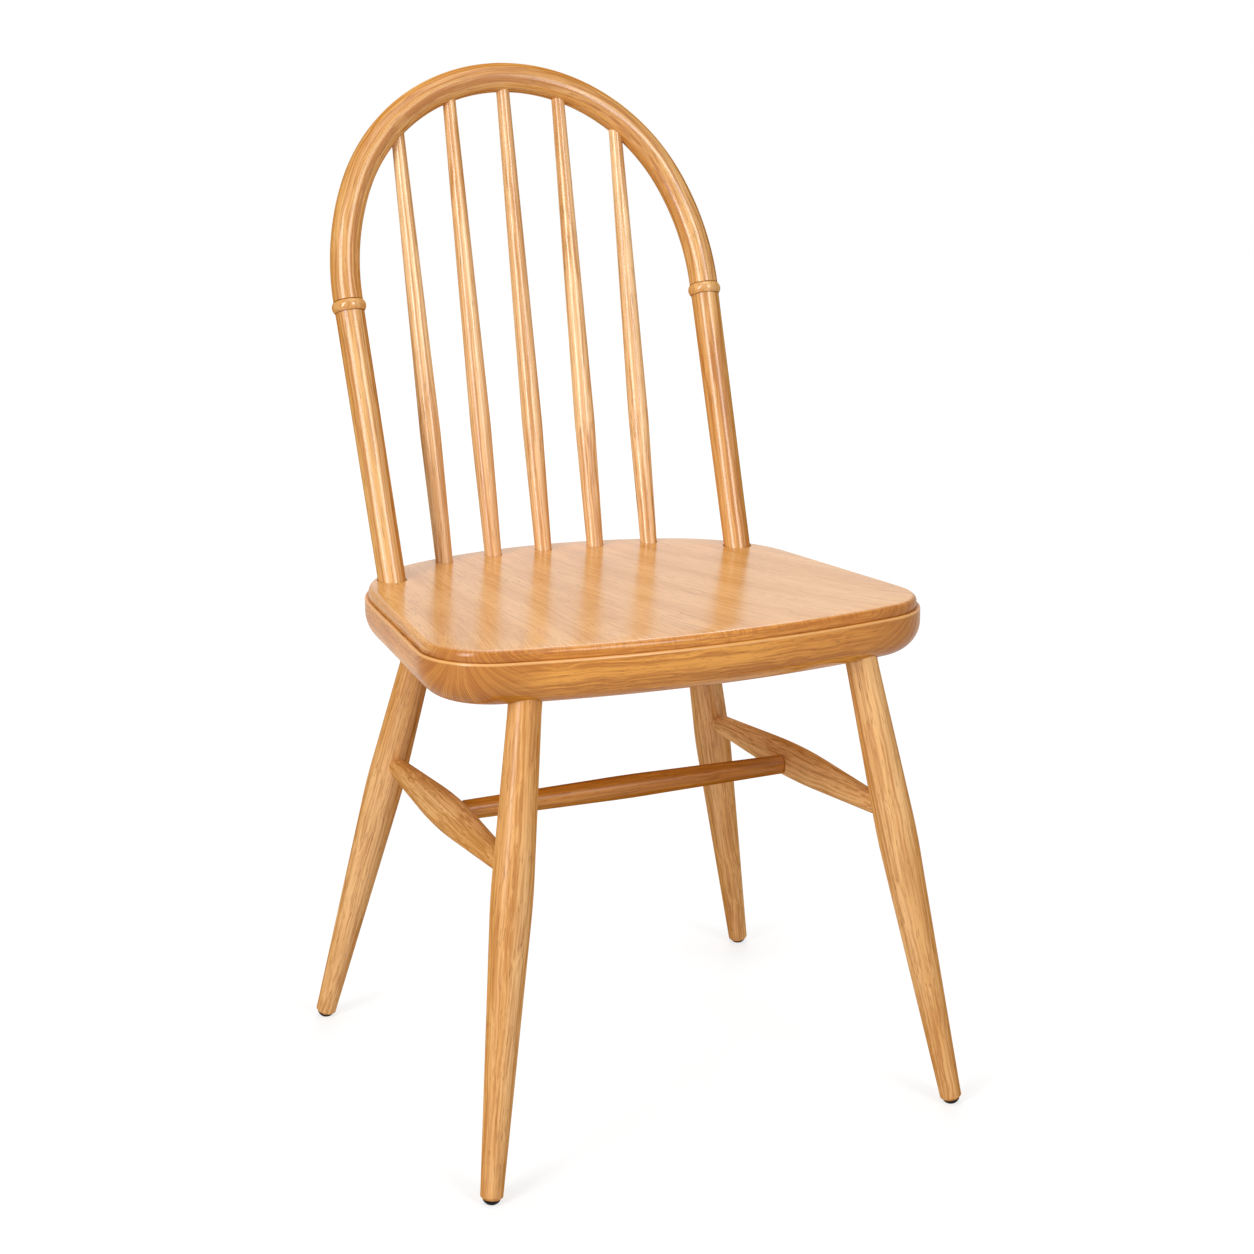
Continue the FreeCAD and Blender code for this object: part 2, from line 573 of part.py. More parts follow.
def bow_blank(doc):
    """Bent rod: half of it swept down from the middle, with its tenon, then mirrored."""
    body = doc.addObject("PartDesign::Body", "back_bow_blank")
    path = new_sketch(body, "bow_axis", "XZ_Plane")
    draw_bow_path(path)
    rod = new_sketch(body, "bow_rod", "YZ_Plane")
    top, radius = Vector(0, number(doc, "sizes.bow_rise"), 0), number(doc, "sizes.bow_diameter / 2")
    circle = rod.addGeometry(Part.Circle(top, Vector(0, 0, 1), radius))
    rod.addConstraint(Sketcher.Constraint("PointOnObject", circle, 3, -2))
    bind(rod, "sizes.bow_rise", "DistanceY", -1, 1, circle, 3)
    bind(rod, "sizes.bow_diameter / 2", "Radius", circle)
    bend = body.newObject("PartDesign::AdditivePipe", "bow_bend")
    bend.Profile = rod
    bend.Spine = (path, ["Edge1", "Edge2"])
    tenon = body.newObject("PartDesign::AdditiveCylinder", "bow_tenon")
    tenon.setExpression("Radius", "sizes.bow_tenon_diameter / 2")
    tenon.setExpression("Height", "sizes.bow_tenon_length")
    base = ("derived.bow_foot_x", 0, "derived.bow_foot_rise")
    tenon.setExpression("Placement", placement_formula(base, (0, 1, 0), "180 + derived.post_lean"))
    doc.recompute()
    whole = body.newObject("PartDesign::Mirrored", "bow_whole")
    whole.TransformMode = "Whole shape"
    whole.MirrorPlane = (origin_plane(body, "YZ_Plane"), [""])
    body.Tip = whole
    base = (0, "sizes.post_base_y", "sizes.seat_height")
    body.setExpression("Placement", placement_formula(base, (1, 0, 0), "-sizes.back_rake"))
    return body


def bore_bow(doc, blank, spindles):
    """The spindles' sockets in the bow, each along its own spindle."""
    bores = []
    for name, piece in spindles.items():
        run = f"derived.{SPINDLES[name][1]}_run"
        start = f"{run} - sizes.bow_diameter - sizes.bore_overrun"
        end = f"{run} + sizes.spindle_head_reach + sizes.socket_bottom_gap"
        diameter = "sizes.spindle_head_diameter + sizes.socket_clearance"
        bores.append(socket(doc.addObject, "Part::Cylinder", f"{name}_head_bore", piece, start, end, diameter))
    return bored(doc, "back_bow", blank, *bores)


def draw_seat_outline(sketch, margin):
    """Front bow, corners, straight closing sides, hips and back bow, all tangent."""
    doc = sketch.Document
    front, corner, hip, back = (
        f"(sizes.seat_{edge}_radius + {margin})" for edge in ("front", "corner", "hip", "back")
    )
    front_y = f"(-sizes.seat_front - {margin} + {front})"
    back_y = f"(sizes.seat_back + {margin} - {back})"
    side = f"sizes.seat_side + {margin}"
    corners = seat_corners(doc, (front, corner, hip, back), front_y, back_y, side)
    front_center, corner_center, hip_center, back_center, t1, t2, t3, t4 = corners
    flip = [Vector(-point.x, point.y, 0) for point in corners]
    radii = [number(doc, radius) for radius in (front, corner, hip, back)]
    pieces = (
        arc_about(front_center, radii[0], flip[4], t1),
        arc_about(corner_center, radii[1], t1, t2),
        Part.LineSegment(t2, t3),
        arc_about(hip_center, radii[2], t3, t4),
        arc_about(back_center, radii[3], t4, flip[7]),
        arc_about(flip[2], radii[2], flip[7], flip[6]),
        Part.LineSegment(flip[6], flip[5]),
        arc_about(flip[1], radii[1], flip[5], flip[4]),
    )
    ids = [sketch.addGeometry(piece) for piece in pieces]
    for this, following in zip(ids, ids[1:] + ids[:1]):
        sketch.addConstraint(Sketcher.Constraint("Tangent", this, 2, following, 1))
    for arc, radius, center_y in ((ids[0], front, front_y), (ids[4], back, back_y)):
        sketch.addConstraint(Sketcher.Constraint("PointOnObject", arc, 3, -2))
        bind(sketch, radius, "Radius", arc)
        bind(sketch, center_y, "DistanceY", -1, 1, arc, 3)
    for right, left, radius in ((ids[1], ids[7], corner), (ids[3], ids[5], hip)):
        sketch.addConstraint(Sketcher.Constraint("Equal", right, left))
        bind(sketch, radius, "Radius", right)
    for line, sign in ((ids[2], ""), (ids[6], "-")):
        bind(sketch, side, "Distance", -1, 1, line)
        bind(sketch, f"{sign}(90 + sizes.seat_side_angle)", "Angle", line)


def seat_corners(doc, radii, front_y, back_y, side):
    """Centres and meeting points of the outline's right half, for the sketch to start from."""
    front, corner, hip, back = (number(doc, radius) for radius in radii)
    angle = math.radians(number(doc, "sizes.seat_side_angle"))
    square, along = Vector(math.cos(angle), math.sin(angle), 0), Vector(-math.sin(angle), math.cos(angle), 0)
    front_center, back_center = Vector(0, number(doc, front_y), 0), Vector(0, number(doc, back_y), 0)
    centers = []
    for center, large, small, way in ((front_center, front, corner, -1), (back_center, back, hip, 1)):
        off = number(doc, side) - small - square.dot(center)
        centers.append(center + square * off + along * way * math.sqrt((large - small) ** 2 - off ** 2))
    corner_center, hip_center = centers
    t1 = front_center + (corner_center - front_center).normalize() * front
    t2 = corner_center + square * corner
    t3 = hip_center + square * hip
    t4 = back_center + (hip_center - back_center).normalize() * back
    return front_center, corner_center, hip_center, back_center, t1, t2, t3, t4


def seat_slab(body, name, margin, level, length):
    sketch = new_sketch(body, f"{name}_outline", "XY_Plane")
    sketch.setExpression("AttachmentOffset.Base.z", level)
    draw_seat_outline(sketch, margin)
    pad = body.newObject("PartDesign::Pad", name)
    pad.Profile = sketch
    pad.setExpression("Length", length)
    body.Document.recompute()
    return pad


def round_edges(body, name, feature, level, radius):
    """Round the edges of a feature that lie flat at one level."""
    height = number(body.Document, level)
    names = []
    for index, edge in enumerate(feature.Shape.Edges, start=1):
        box = edge.BoundBox
        if max(abs(box.ZMin - height), abs(box.ZMax - height)) < LEVEL_TOLERANCE:
            names.append(f"Edge{index}")
    fillet = body.newObject("PartDesign::Fillet", name)
    fillet.Base = (feature, names)
    fillet.setExpression("Radius", radius)
    body.Document.recompute()
    return fillet


def seat(doc, legs, posts, spindles):
    """Solid plank: rounded lower slab, raised field, and the sockets of all that stands in it."""
    body = doc.addObject("PartDesign::Body", "seat")
    ledge = "sizes.seat_height - sizes.seat_step"
    slab = seat_slab(body, "slab", "sizes.seat_ledge", "derived.underside", "sizes.seat_thickness - sizes.seat_step")
    belly = round_edges(body, "belly_round", slab, "derived.underside", "sizes.seat_belly_round")
    round_edges(body, "lip_round", belly, ledge, "sizes.seat_lip_round")
    field = seat_slab(body, "field", "0", ledge, "sizes.seat_step")
    round_edges(body, "field_round", field, "sizes.seat_height", "sizes.seat_top_round")
    gap, overrun = "sizes.socket_bottom_gap", "sizes.bore_overrun"
    for name, leg in legs.items():
        run = f"derived.{name.split('_')[0]}_leg_run"
        end = f"{run} + sizes.leg_socket_depth + {gap}"
        diameter = "sizes.leg_head_diameter + sizes.socket_clearance"
        socket(body.newObject, "PartDesign::SubtractiveCylinder", f"{name}_socket", leg,
               f"{run} - {overrun}", end, diameter)
    for pieces, foot, clearance in (
        (posts, "post", "sizes.post_clearance"),
        (spindles, "spindle", "sizes.socket_clearance"),
    ):
        for name, piece in pieces.items():
            start = f"-sizes.{foot}_socket_depth - {gap}"
            diameter = f"sizes.{foot}_foot_diameter + {clearance}"
            socket(body.newObject, "PartDesign::SubtractiveCylinder", f"{name}_socket", piece,
                   start, overrun, diameter)
    return body


def glide(doc, name, leg, floor):
    """Domed plastic foot on the leg's axis, bedded flat where it meets the floor."""
    half, top = "sizes.glide_diameter / 2", "sizes.glide_height"
    shank = "(sizes.nail_shank_diameter + sizes.nail_clearance) / 2"
    head = "(sizes.nail_head_diameter + sizes.nail_clearance) / 2"
    head_low = "sizes.nail_head_rise - sizes.nail_clearance / 2"
    head_top = "sizes.nail_head_rise + sizes.nail_head_height + sizes.nail_clearance / 2"
    body = turned_body(doc, f"{name}_blank", (
        Station(0, "sizes.glide_dome_center - derived.dome_radius", Crown("derived.dome_radius")),
        Station(half, f"{top} - sizes.glide_rim"),
        Station(half, top),
        Station(shank, top),
        Station(shank, head_top),
        Station(head, head_top),
        Station(head, head_low),
        Station(0, head_low),
    ))
    ride(body, leg, 0)
    return bored(doc, name, body, floor)


def glide_nail(doc, name, leg):
    """Nail with its head in the glide and its pointed shank up the leg."""
    shank, head = "sizes.nail_shank_diameter / 2", "sizes.nail_head_diameter / 2"
    low, top = "sizes.nail_head_rise", "sizes.nail_head_rise + sizes.nail_head_height"
    tip = "sizes.glide_height + sizes.nail_length"
    body = turned_body(doc, name, (
        Station(0, low),
        Station(head, low),
        Station(head, top),
        Station(shank, top),
        Station(shank, f"{tip} - sizes.nail_shank_diameter"),
        Station(0, tip),
    ))
    ride(body, leg, 0)
    return body


def floor_block(doc):
    """What lies under the floor, to trim the glides flat."""
    block = doc.addObject("Part::Box", "floor_block")
    half = "2 * sizes.rear_foot_x"
    block.setExpression("Length", f"2 * {half}")
    block.setExpression("Width", f"2 * {half}")
    block.setExpression("Height", "sizes.seat_thickness")
    base = (f"-{half}", f"-{half}", "-sizes.seat_thickness")
    block.setExpression("Placement", placement_formula(base, (0, 0, 1), 0))
    return block


def build(doc):
    """Every piece of the chair, by the name of its file."""
    legs = {f"{row}_{side}_leg": leg_blank(doc, row, side) for row in ROWS for side in SIDES}
    sides = {side: side_stretcher_blank(doc, side) for side in SIDES}
    cross = cross_stretcher(doc)
    posts = {f"{side}_back_post": back_post(doc, side) for side in SIDES}
    spindles = {name: spindle(doc, name) for name in SPINDLES}
    floor = floor_block(doc)
    pieces = {"seat": seat(doc, legs, posts, spindles), "cross_stretcher": cross}
    pieces["back_bow"] = bore_bow(doc, bow_blank(doc), spindles)
    pieces.update(posts)
    pieces.update(spindles)
    for side in SIDES:
        pieces[f"{side}_collar"] = collar(doc, side, posts[f"{side}_back_post"])
        pieces[f"{side}_side_stretcher"] = bore_side_stretcher(doc, side, sides[side], cross)
    nails = []
    for row in ROWS:
        for side in SIDES:
            leg = legs[f"{row}_{side}_leg"]
            pieces[f"{row}_{side}_leg"] = bore_leg(doc, row, side, leg, sides[side])
            pieces[f"{row}_{side}_glide"] = glide(doc, f"{row}_{side}_glide", leg, floor)
            nails.append(glide_nail(doc, f"{row}_{side}_glide_nail", leg))
    pieces["glide_nails"] = doc.addObject("Part::Compound", "glide_nails")
    pieces["glide_nails"].Links = nails
    return pieces


def check(doc, pieces):
    """Stop before anything is written if a feature failed or a piece isn't sound."""
    for item in doc.Objects:
        if "Invalid" in item.State or "Error" in item.State:
            raise RuntimeError(f"{item.Name} failed: {item.State}")
        if item.isDerivedFrom("Sketcher::SketchObject") and not item.FullyConstrained:
            raise RuntimeError(f"{item.Name} isn't fully constrained")
    for name, piece in pieces.items():
        wanted = 4 if name == "glide_nails" else 1
        shape = piece.Shape
        if shape.isNull() or not shape.isValid() or len(shape.Solids) != wanted:
            raise RuntimeError(f"{name} isn't sound")


def export(pieces):
    os.makedirs("parts", exist_ok=True)
    for name, piece in pieces.items():
        piece.Label = name
        piece.Shape.exportStep(os.path.join("parts", f"{name}.step"))


def main():
    doc = FreeCAD.newDocument("windsor_chair")
    make_sheet(doc)
    make_derived(doc)
    pieces = build(doc)
    doc.recompute()
    check(doc, pieces)
    export(pieces)
    print(f"{len(pieces)} pieces written")


main()
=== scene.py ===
"""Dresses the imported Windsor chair: lacquered honey-coloured wood, dark glides and a white studio.

Every length is in metres. The chair stands on the floor at Z = 0, its sitter faces -Y, and a piece
called left is at -X.
"""

import logging
import math
from dataclasses import dataclass, field
from enum import Enum
from typing import Any, Dict, List, Mapping, Sequence, Tuple, Union

import bpy
from mathutils import Euler, Matrix, Vector


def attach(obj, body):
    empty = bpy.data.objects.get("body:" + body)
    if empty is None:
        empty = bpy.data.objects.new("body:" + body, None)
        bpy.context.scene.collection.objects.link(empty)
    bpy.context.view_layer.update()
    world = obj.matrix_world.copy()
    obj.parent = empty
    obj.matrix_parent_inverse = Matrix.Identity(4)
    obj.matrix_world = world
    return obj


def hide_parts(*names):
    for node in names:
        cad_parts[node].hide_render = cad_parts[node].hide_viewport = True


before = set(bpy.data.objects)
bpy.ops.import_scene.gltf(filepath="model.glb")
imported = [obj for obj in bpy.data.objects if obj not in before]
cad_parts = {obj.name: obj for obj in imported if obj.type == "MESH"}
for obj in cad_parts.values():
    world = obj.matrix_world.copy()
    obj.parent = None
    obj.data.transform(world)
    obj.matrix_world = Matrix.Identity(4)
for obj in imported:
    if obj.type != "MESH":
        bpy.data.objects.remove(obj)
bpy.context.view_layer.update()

LOG = logging.getLogger("chair")
FULL_TURN = 2.0 * math.pi
SIDES = ("left", "right")
# A thin dark line of painted shade where a collar meets the bow and the post: its width and its strength.
JOINT_SHADE_WIDTH = 0.0008
SEAM_SHADE = 0.8
GRAIN = "grain"
BAND = "band"

Colour = Tuple[float, float, float, float]
Triple = Tuple[float, float, float]
Pair = Tuple[float, float]
Stripe = Tuple[float, float, float, float]
Operand = Union[float, Triple, "Wire"]

WHITE: Colour = (1.0, 1.0, 1.0, 1.0)


def srgb(red: int, green: int, blue: int) -> Colour:
    """Turn a colour as it is seen on a screen into the linear colour that a shader takes.

    Args:
        red: red from 0 to 255.
        green: green from 0 to 255.
        blue: blue from 0 to 255.

    Returns:
        The linear colour, with full opacity.
    """
    linear = []
    for part in (red / 255.0, green / 255.0, blue / 255.0):
        linear.append(part / 12.92 if part <= 0.04045 else ((part + 0.055) / 1.055) ** 2.4)
    return (linear[0], linear[1], linear[2], 1.0)


class Wire:
    """A node's socket that takes part in Python arithmetic: each operator adds the node for it."""

    def __init__(self, loom: "Loom", socket: bpy.types.NodeSocket) -> None:
        """Wrap a socket of a tree that a loom is building."""
        self.loom = loom
        self.socket = socket

    def __add__(self, other: Operand) -> "Wire":
        """Return self + other."""
        return self.loom.maths("ADD", self, other)

    def __radd__(self, other: Operand) -> "Wire":
        """Return other + self."""
        return self.loom.maths("ADD", other, self)

    def __sub__(self, other: Operand) -> "Wire":
        """Return self - other."""
        return self.loom.maths("SUBTRACT", self, other)

    def __rsub__(self, other: Operand) -> "Wire":
        """Return other - self."""
        return self.loom.maths("SUBTRACT", other, self)

    def __mul__(self, other: Operand) -> "Wire":
        """Return self * other."""
        return self.loom.maths("MULTIPLY", self, other)

    def __rmul__(self, other: Operand) -> "Wire":
        """Return other * self."""
        return self.loom.maths("MULTIPLY", other, self)

    def __truediv__(self, other: Operand) -> "Wire":
        """Return self / other."""
        return self.loom.maths("DIVIDE", self, other)

    def __rtruediv__(self, other: Operand) -> "Wire":
        """Return other / self."""
        return self.loom.maths("DIVIDE", other, self)

    def __pow__(self, other: Operand) -> "Wire":
        """Return self to the power of other."""
        return self.loom.maths("POWER", self, other)

    def __rpow__(self, other: Operand) -> "Wire":
        """Return other to the power of self."""
        return self.loom.maths("POWER", other, self)

    def output(self, name: Union[str, int]) -> "Wire":
        """Return another output of the same node."""
        return Wire(self.loom, self.socket.node.outputs[name])

    def axis(self, letter: str) -> "Wire":
        """Return the X, Y or Z of a vector."""
        return self.loom.add("ShaderNodeSeparateXYZ", {}, {0: self}, letter)

    def do(self, operation: str, *others: Operand) -> "Wire":
        """Return the result of a Math node's operation on this value and any others."""
        return self.loom.maths(operation, self, *others)

    def spread(
        self, settings: Mapping[str, Any], low: float, high: float, start: float, end: float
    ) -> "Wire":
        """Spread this value's run from low to high over start to end."""
        sockets = {0: self, "From Min": low, "From Max": high, "To Min": start, "To Max": end}
        return self.loom.add("ShaderNodeMapRange", settings, sockets)

    def between(self, low: float, high: float, start: float = 0.0, end: float = 1.0) -> "Wire":
        """Spread it in a straight line, and hold it beyond the ends."""
        return self.spread({"clamp": True}, low, high, start, end)

    def eased(self, low: float, high: float, start: float = 0.0, end: float = 1.0) -> "Wire":
        """Spread it with a soft start and a soft stop."""
        return self.spread({"interpolation_type": "SMOOTHSTEP"}, low, high, start, end)

    def inside(self, start: float, full: float, still: float, end: float) -> "Wire":
        """Return 1 from full to still, and less towards start and end."""
        return self.eased(start, full) * self.eased(end, still)


class Loom:
    """Lays the nodes of one tree, for a finish or for geometry."""

    def __init__(self, tree: bpy.types.NodeTree) -> None:
        """Take the tree to build in."""
        self.tree = tree

    def add(
        self,
        kind: str,
        settings: Mapping[str, Any],
        sockets: Mapping[Union[str, int], Any],
        output: Union[str, int] = 0,
    ) -> Wire:
        """Add one node of any kind.

        Args:
            kind: the node's type.
            settings: its properties, set before its sockets.
            sockets: a value or a wire for each input named or numbered.
            output: the output to return.

        Returns:
            That output, as a wire.
        """
        node = self.tree.nodes.new(kind)
        for name, value in settings.items():
            setattr(node, name, value)
        for name, value in sockets.items():
            if isinstance(value, Wire):
                self.tree.links.new(value.socket, node.inputs[name])
            else:
                node.inputs[name].default_value = value
        outputs = node.outputs
        return Wire(self, outputs[output] if len(outputs) else node.inputs[0])

    def maths(self, operation: str, *operands: Operand) -> Wire:
        """Add a Math node, or a Vector Math node where an operand is a vector.

        Args:
            operation: the node's operation.
            operands: numbers, triples or wires, in the order of the node's inputs.

        Returns:
            The result.
        """
        triples = any(isinstance(value, tuple) for value in operands)
        vectors = any(isinstance(value, Wire) and value.socket.type == "VECTOR" for value in operands)
        if not (triples or vectors):
            return self.add("ShaderNodeMath", {"operation": operation}, dict(enumerate(operands)))
        whole = [(value,) * 3 if isinstance(value, (int, float)) else value for value in operands]
        return self.add("ShaderNodeVectorMath", {"operation": operation}, dict(enumerate(whole)))

    def vector(self, x: Operand, y: Operand, z: Operand) -> Wire:
        """Join three values in a vector."""
        return self.add("ShaderNodeCombineXYZ", {}, {0: x, 1: y, 2: z})

    def noise(self, place: Wire, detail: float = 0.0, roughness: float = 0.5) -> Wire:
        """Return soft noise from 0 to 1, with features about one unit of place across."""
        sockets = {"Vector": place, "Scale": 1.0, "Detail": detail, "Roughness": roughness}
        return self.add("ShaderNodeTexNoise", {}, sockets, 0)

    def object_place(self) -> Wire:
        """Return where a point is, in its own object's coordinates."""
        return self.add("ShaderNodeTexCoord", {}, {}, "Object")

    def bump(self, height: Wire, strength: float, relief: float) -> Wire:
        """Return the normals of a fine relief that is so many metres deep."""
        return self.add("ShaderNodeBump", {}, {"Strength": strength, "Distance": relief, "Height": height})

    def surface(self, sockets: Mapping[str, Any]) -> None:
        """End a material with one shader, whose sockets are given."""
        shader = self.add("ShaderNodeBsdfPrincipled", {}, sockets)
        self.add("ShaderNodeOutputMaterial", {}, {"Surface": shader})

    def tint(self, share: Operand, first: Union[Colour, Wire], second: Union[Colour, Wire]) -> Wire:
        """Mix two colours: none of the second at 0, all of it at 1."""
        return self.add("ShaderNodeMix", {"data_type": "RGBA"}, {0: share, 6: first, 7: second}, 2)


@dataclass(frozen=True)
class Axis:
    """The straight axis of a turned piece, which its fibres follow."""

    start: Triple
    end: Triple

    @property
    def length(self) -> float:
        """The distance from start to end."""
        return (Vector(self.end) - Vector(self.start)).length

    @property
    def turn(self) -> Euler:
        """The rotation that lays Z along the axis."""
        return (Vector(self.end) - Vector(self.start)).to_track_quat("Z", "Y").to_euler()

    def mirrored(self) -> "Axis":
        """Return the axis of the same piece on the chair's other side."""
        flip = [(-x, y, z) for x, y, z in (self.start, self.end)]
        return Axis(flip[0], flip[1])


@dataclass(frozen=True)
class Tones:
    """The colours of one wood under clear lacquer."""

    pale: Colour
    honey: Colour
    brown: Colour
    pore: Colour


class Cut(Enum):
    """How a piece was cut from the tree, and so what its face shows."""

    LEG = (130.0, 0.030, 0.30, 0.50, 11.0, 0.003)
    CLEFT = (150.0, 0.022, 0.20, 0.75, 5.0, 0.0015)
    BENT = (170.0, 0.012, 0.25, 0.80, 6.0, 0.003)
    PLANK = (150.0, 0.036, 0.34, 0.14, 7.0, 0.007)
    EDGE = (190.0, 0.016, 0.35, 0.60, 13.0, 0.006)

    def __init__(
        self, rings: float, wander: float, lines: float, streaks: float, short: float, ripple: float
    ) -> None:
        """Name the numbers of a cut.

        Args:
            rings: growth rings in a metre across the grain.
            wander: how far a ring strays from a flat sheet, in metres.
            lines: how strongly the edge of a ring shows, from 0 to 1.
            streaks: how strongly the broad streaks show, from 0 to 1.
            short: how many fibres follow one another in a metre.
            ripple: how far the fibres ripple, in metres.
        """
        self.rings, self.wander, self.lines = rings, wander, lines
        self.streaks, self.short, self.ripple = streaks, short, ripple


LEG_TONES = Tones(srgb(240, 188, 126), srgb(220, 160, 92), srgb(174, 106, 38), srgb(118, 62, 12))
BACK_TONES = Tones(srgb(232, 182, 116), srgb(214, 154, 82), srgb(176, 108, 38), srgb(112, 60, 14))
SPINDLE_TONES = Tones(srgb(246, 204, 150), srgb(230, 178, 120), srgb(190, 126, 58), srgb(124, 70, 20))
# A darker copy of the turned wood: painted shade for the cross stretcher, which sits in the seat's shadow.
UNDER_SEAT_SHADE_TONES = Tones(srgb(204, 138, 60), srgb(184, 114, 36), srgb(150, 84, 14), srgb(98, 52, 8))
SEAT_TONES = Tones(srgb(228, 170, 102), srgb(214, 152, 78), srgb(178, 112, 42), srgb(122, 72, 20))
EDGE_TONES = Tones(srgb(228, 157, 66), srgb(206, 130, 40), srgb(168, 94, 16), srgb(108, 56, 8))
END_TONES = Tones(srgb(216, 146, 60), srgb(194, 120, 38), srgb(158, 88, 16), srgb(104, 54, 6))


@dataclass(frozen=True)
class Grain:
    """The grain of one piece of wood, painted from places in metres with Z along the fibres.

    Each scale says how many marks fit in a metre, across the fibres and along them. Each edge says
    between which two strengths of its noise a mark comes in.
    """

    tones: Tones
    cut: Cut
    seed: float = 0.0
    fleck: float = 0.5
    seed_step: Triple = (0.31, 0.17, 0.73)
    sway_scale: Triple = (16.0, 16.0, 4.0)
    sway_reach: Pair = (0.014, 0.011)
    ripple_scale: Triple = (50.0, 50.0, 35.0)
    ripple_slant: float = 0.7
    layer_slant: Pair = (0.8, 0.6)
    late_part: float = 0.30
    broken_scale: Triple = (70.0, 70.0, 14.0)
    broad_scale: Triple = (34.0, 34.0, 4.0)
    streak_scale: Pair = (300.0, 0.4)
    fibre_scale: Pair = (640.0, 1.0)
    fibre_dark: float = 0.45
    fibre_pale: float = 0.55
    pore_scale: Pair = (1300.0, 8.0)
    broken_edge: Pair = (0.38, 0.60)
    broad_edge: Pair = (0.35, 0.65)
    streak_edge: Pair = (0.44, 0.62)
    pore_edge: Pair = (0.70, 0.78)
    dark_edge: Pair = (0.52, 0.34)
    pale_edge: Pair = (0.54, 0.68)
    fibre_rise: float = 0.7
    pore_fall: float = 0.3

    def fine(self, scale: Pair) -> Triple:
        """Return a scale whose marks are as short as the cut makes them."""
        return (scale[0], scale[0], scale[1] * self.cut.short)

    def paint(self, loom: Loom, place: Wire) -> Tuple[Wire, Wire]:
        """Lay growth rings, fibres and pores.

        Args:
            loom: the finish's nodes.
            place: where on the wood a point is.

        Returns:
            The colour, and the height of the fine relief from 0 to 1.
        """
        here = place + tuple(part * self.seed for part in self.seed_step)
        sway = loom.noise(here * self.sway_scale, 2.0) - 0.5
        wave = (loom.noise(here * self.ripple_scale) - 0.5) * self.cut.ripple
        sway_x, sway_y = self.sway_reach
        wavy = here + loom.vector(sway * sway_x + wave, sway * sway_y - wave * self.ripple_slant, 0.0)
        slant_x, slant_y = self.layer_slant
        layer = here.axis("X") * slant_x + here.axis("Y") * slant_y + sway * self.cut.wander
        broken = loom.noise(here * self.broken_scale, 1.0).eased(*self.broken_edge)
        late = (layer * self.cut.rings).do("FRACT").between(0.0, self.late_part, 1.0, 0.0) * broken
        broad = loom.noise(here * self.broad_scale, 1.0).eased(*self.broad_edge)
        streak = loom.noise(wavy * self.fine(self.streak_scale), 2.0, 0.6).eased(*self.streak_edge)
        fibre = loom.noise(wavy * self.fine(self.fibre_scale), 2.0, 0.6)
        pore = loom.noise(wavy * self.fine(self.pore_scale)).between(*self.pore_edge)
        tones = self.tones
        colour = loom.tint(broad, tones.pale, tones.honey)
        colour = loom.tint(streak * self.cut.streaks, colour, tones.brown)
        colour = loom.tint(late * self.cut.lines, colour, tones.brown)
        colour = loom.tint(fibre.eased(*self.dark_edge) * self.fibre_dark, colour, tones.brown)
        colour = loom.tint(fibre.eased(*self.pale_edge) * self.fibre_pale, colour, tones.pale)
        colour = loom.tint(pore * self.fleck, colour, tones.pore)
        return colour, fibre * self.fibre_rise - pore * self.pore_fall + self.pore_fall


@dataclass(frozen=True)
class Lacquer:
    """Clear gloss over wood, thinned where the surface is seen edge on, which keeps the rims of round
    pieces dark as painted shade.
    """

    roughness: float = 0.50
    shine: float = 0.0
    coat: float = 1.0
    coat_ior: float = 1.5
    coat_roughness: float = 0.22
    relief: float = 0.000012
    bump: float = 0.5
    turned_away: Pair = (0.12, 0.50)

    def coat_over(self, loom: Loom, colour: Wire, height: Wire, kept: Operand = 0.0) -> None:
        """Finish a material with the wood's colour and relief under the lacquer.

        Args:
            loom: the finish's nodes.
            colour: the wood's colour.
            height: the wood's fine relief, from 0 to 1.
            kept: the share of the gloss that is left where the surface is seen edge on.
        """
        # Painted shade on the rims: the gloss fades where the surface is seen edge on.
        away = loom.add("ShaderNodeLayerWeight", {}, {"Blend": 0.5}, "Facing").eased(*self.turned_away)
        loom.surface({
            "Base Color": colour,
            "Roughness": self.roughness,
            "Specular IOR Level": self.shine,
            "Coat Weight": (1.0 - away * (1.0 - kept)) * self.coat,
            "Coat IOR": self.coat_ior,
            "Coat Roughness": self.coat_roughness,
            "Normal": loom.bump(height, self.bump, self.relief),
        })


def new_finish(name: str) -> Tuple[bpy.types.Material, Loom]:
    """Start a finish.

    Args:
        name: the material's name.

    Returns:
        An empty material, and the loom that fills it.
    """
    material = bpy.data.materials.new(name)
    material.use_nodes = True
    material.node_tree.nodes.clear()
    return material, Loom(material.node_tree)


SATIN = Lacquer(coat_ior=1.45, coat_roughness=0.30)
GLOSSY = Lacquer(coat_ior=1.6, coat_roughness=0.22, relief=0.000003)
BRIGHT = Lacquer(coat_ior=1.6, coat_roughness=0.12, relief=0.000002)


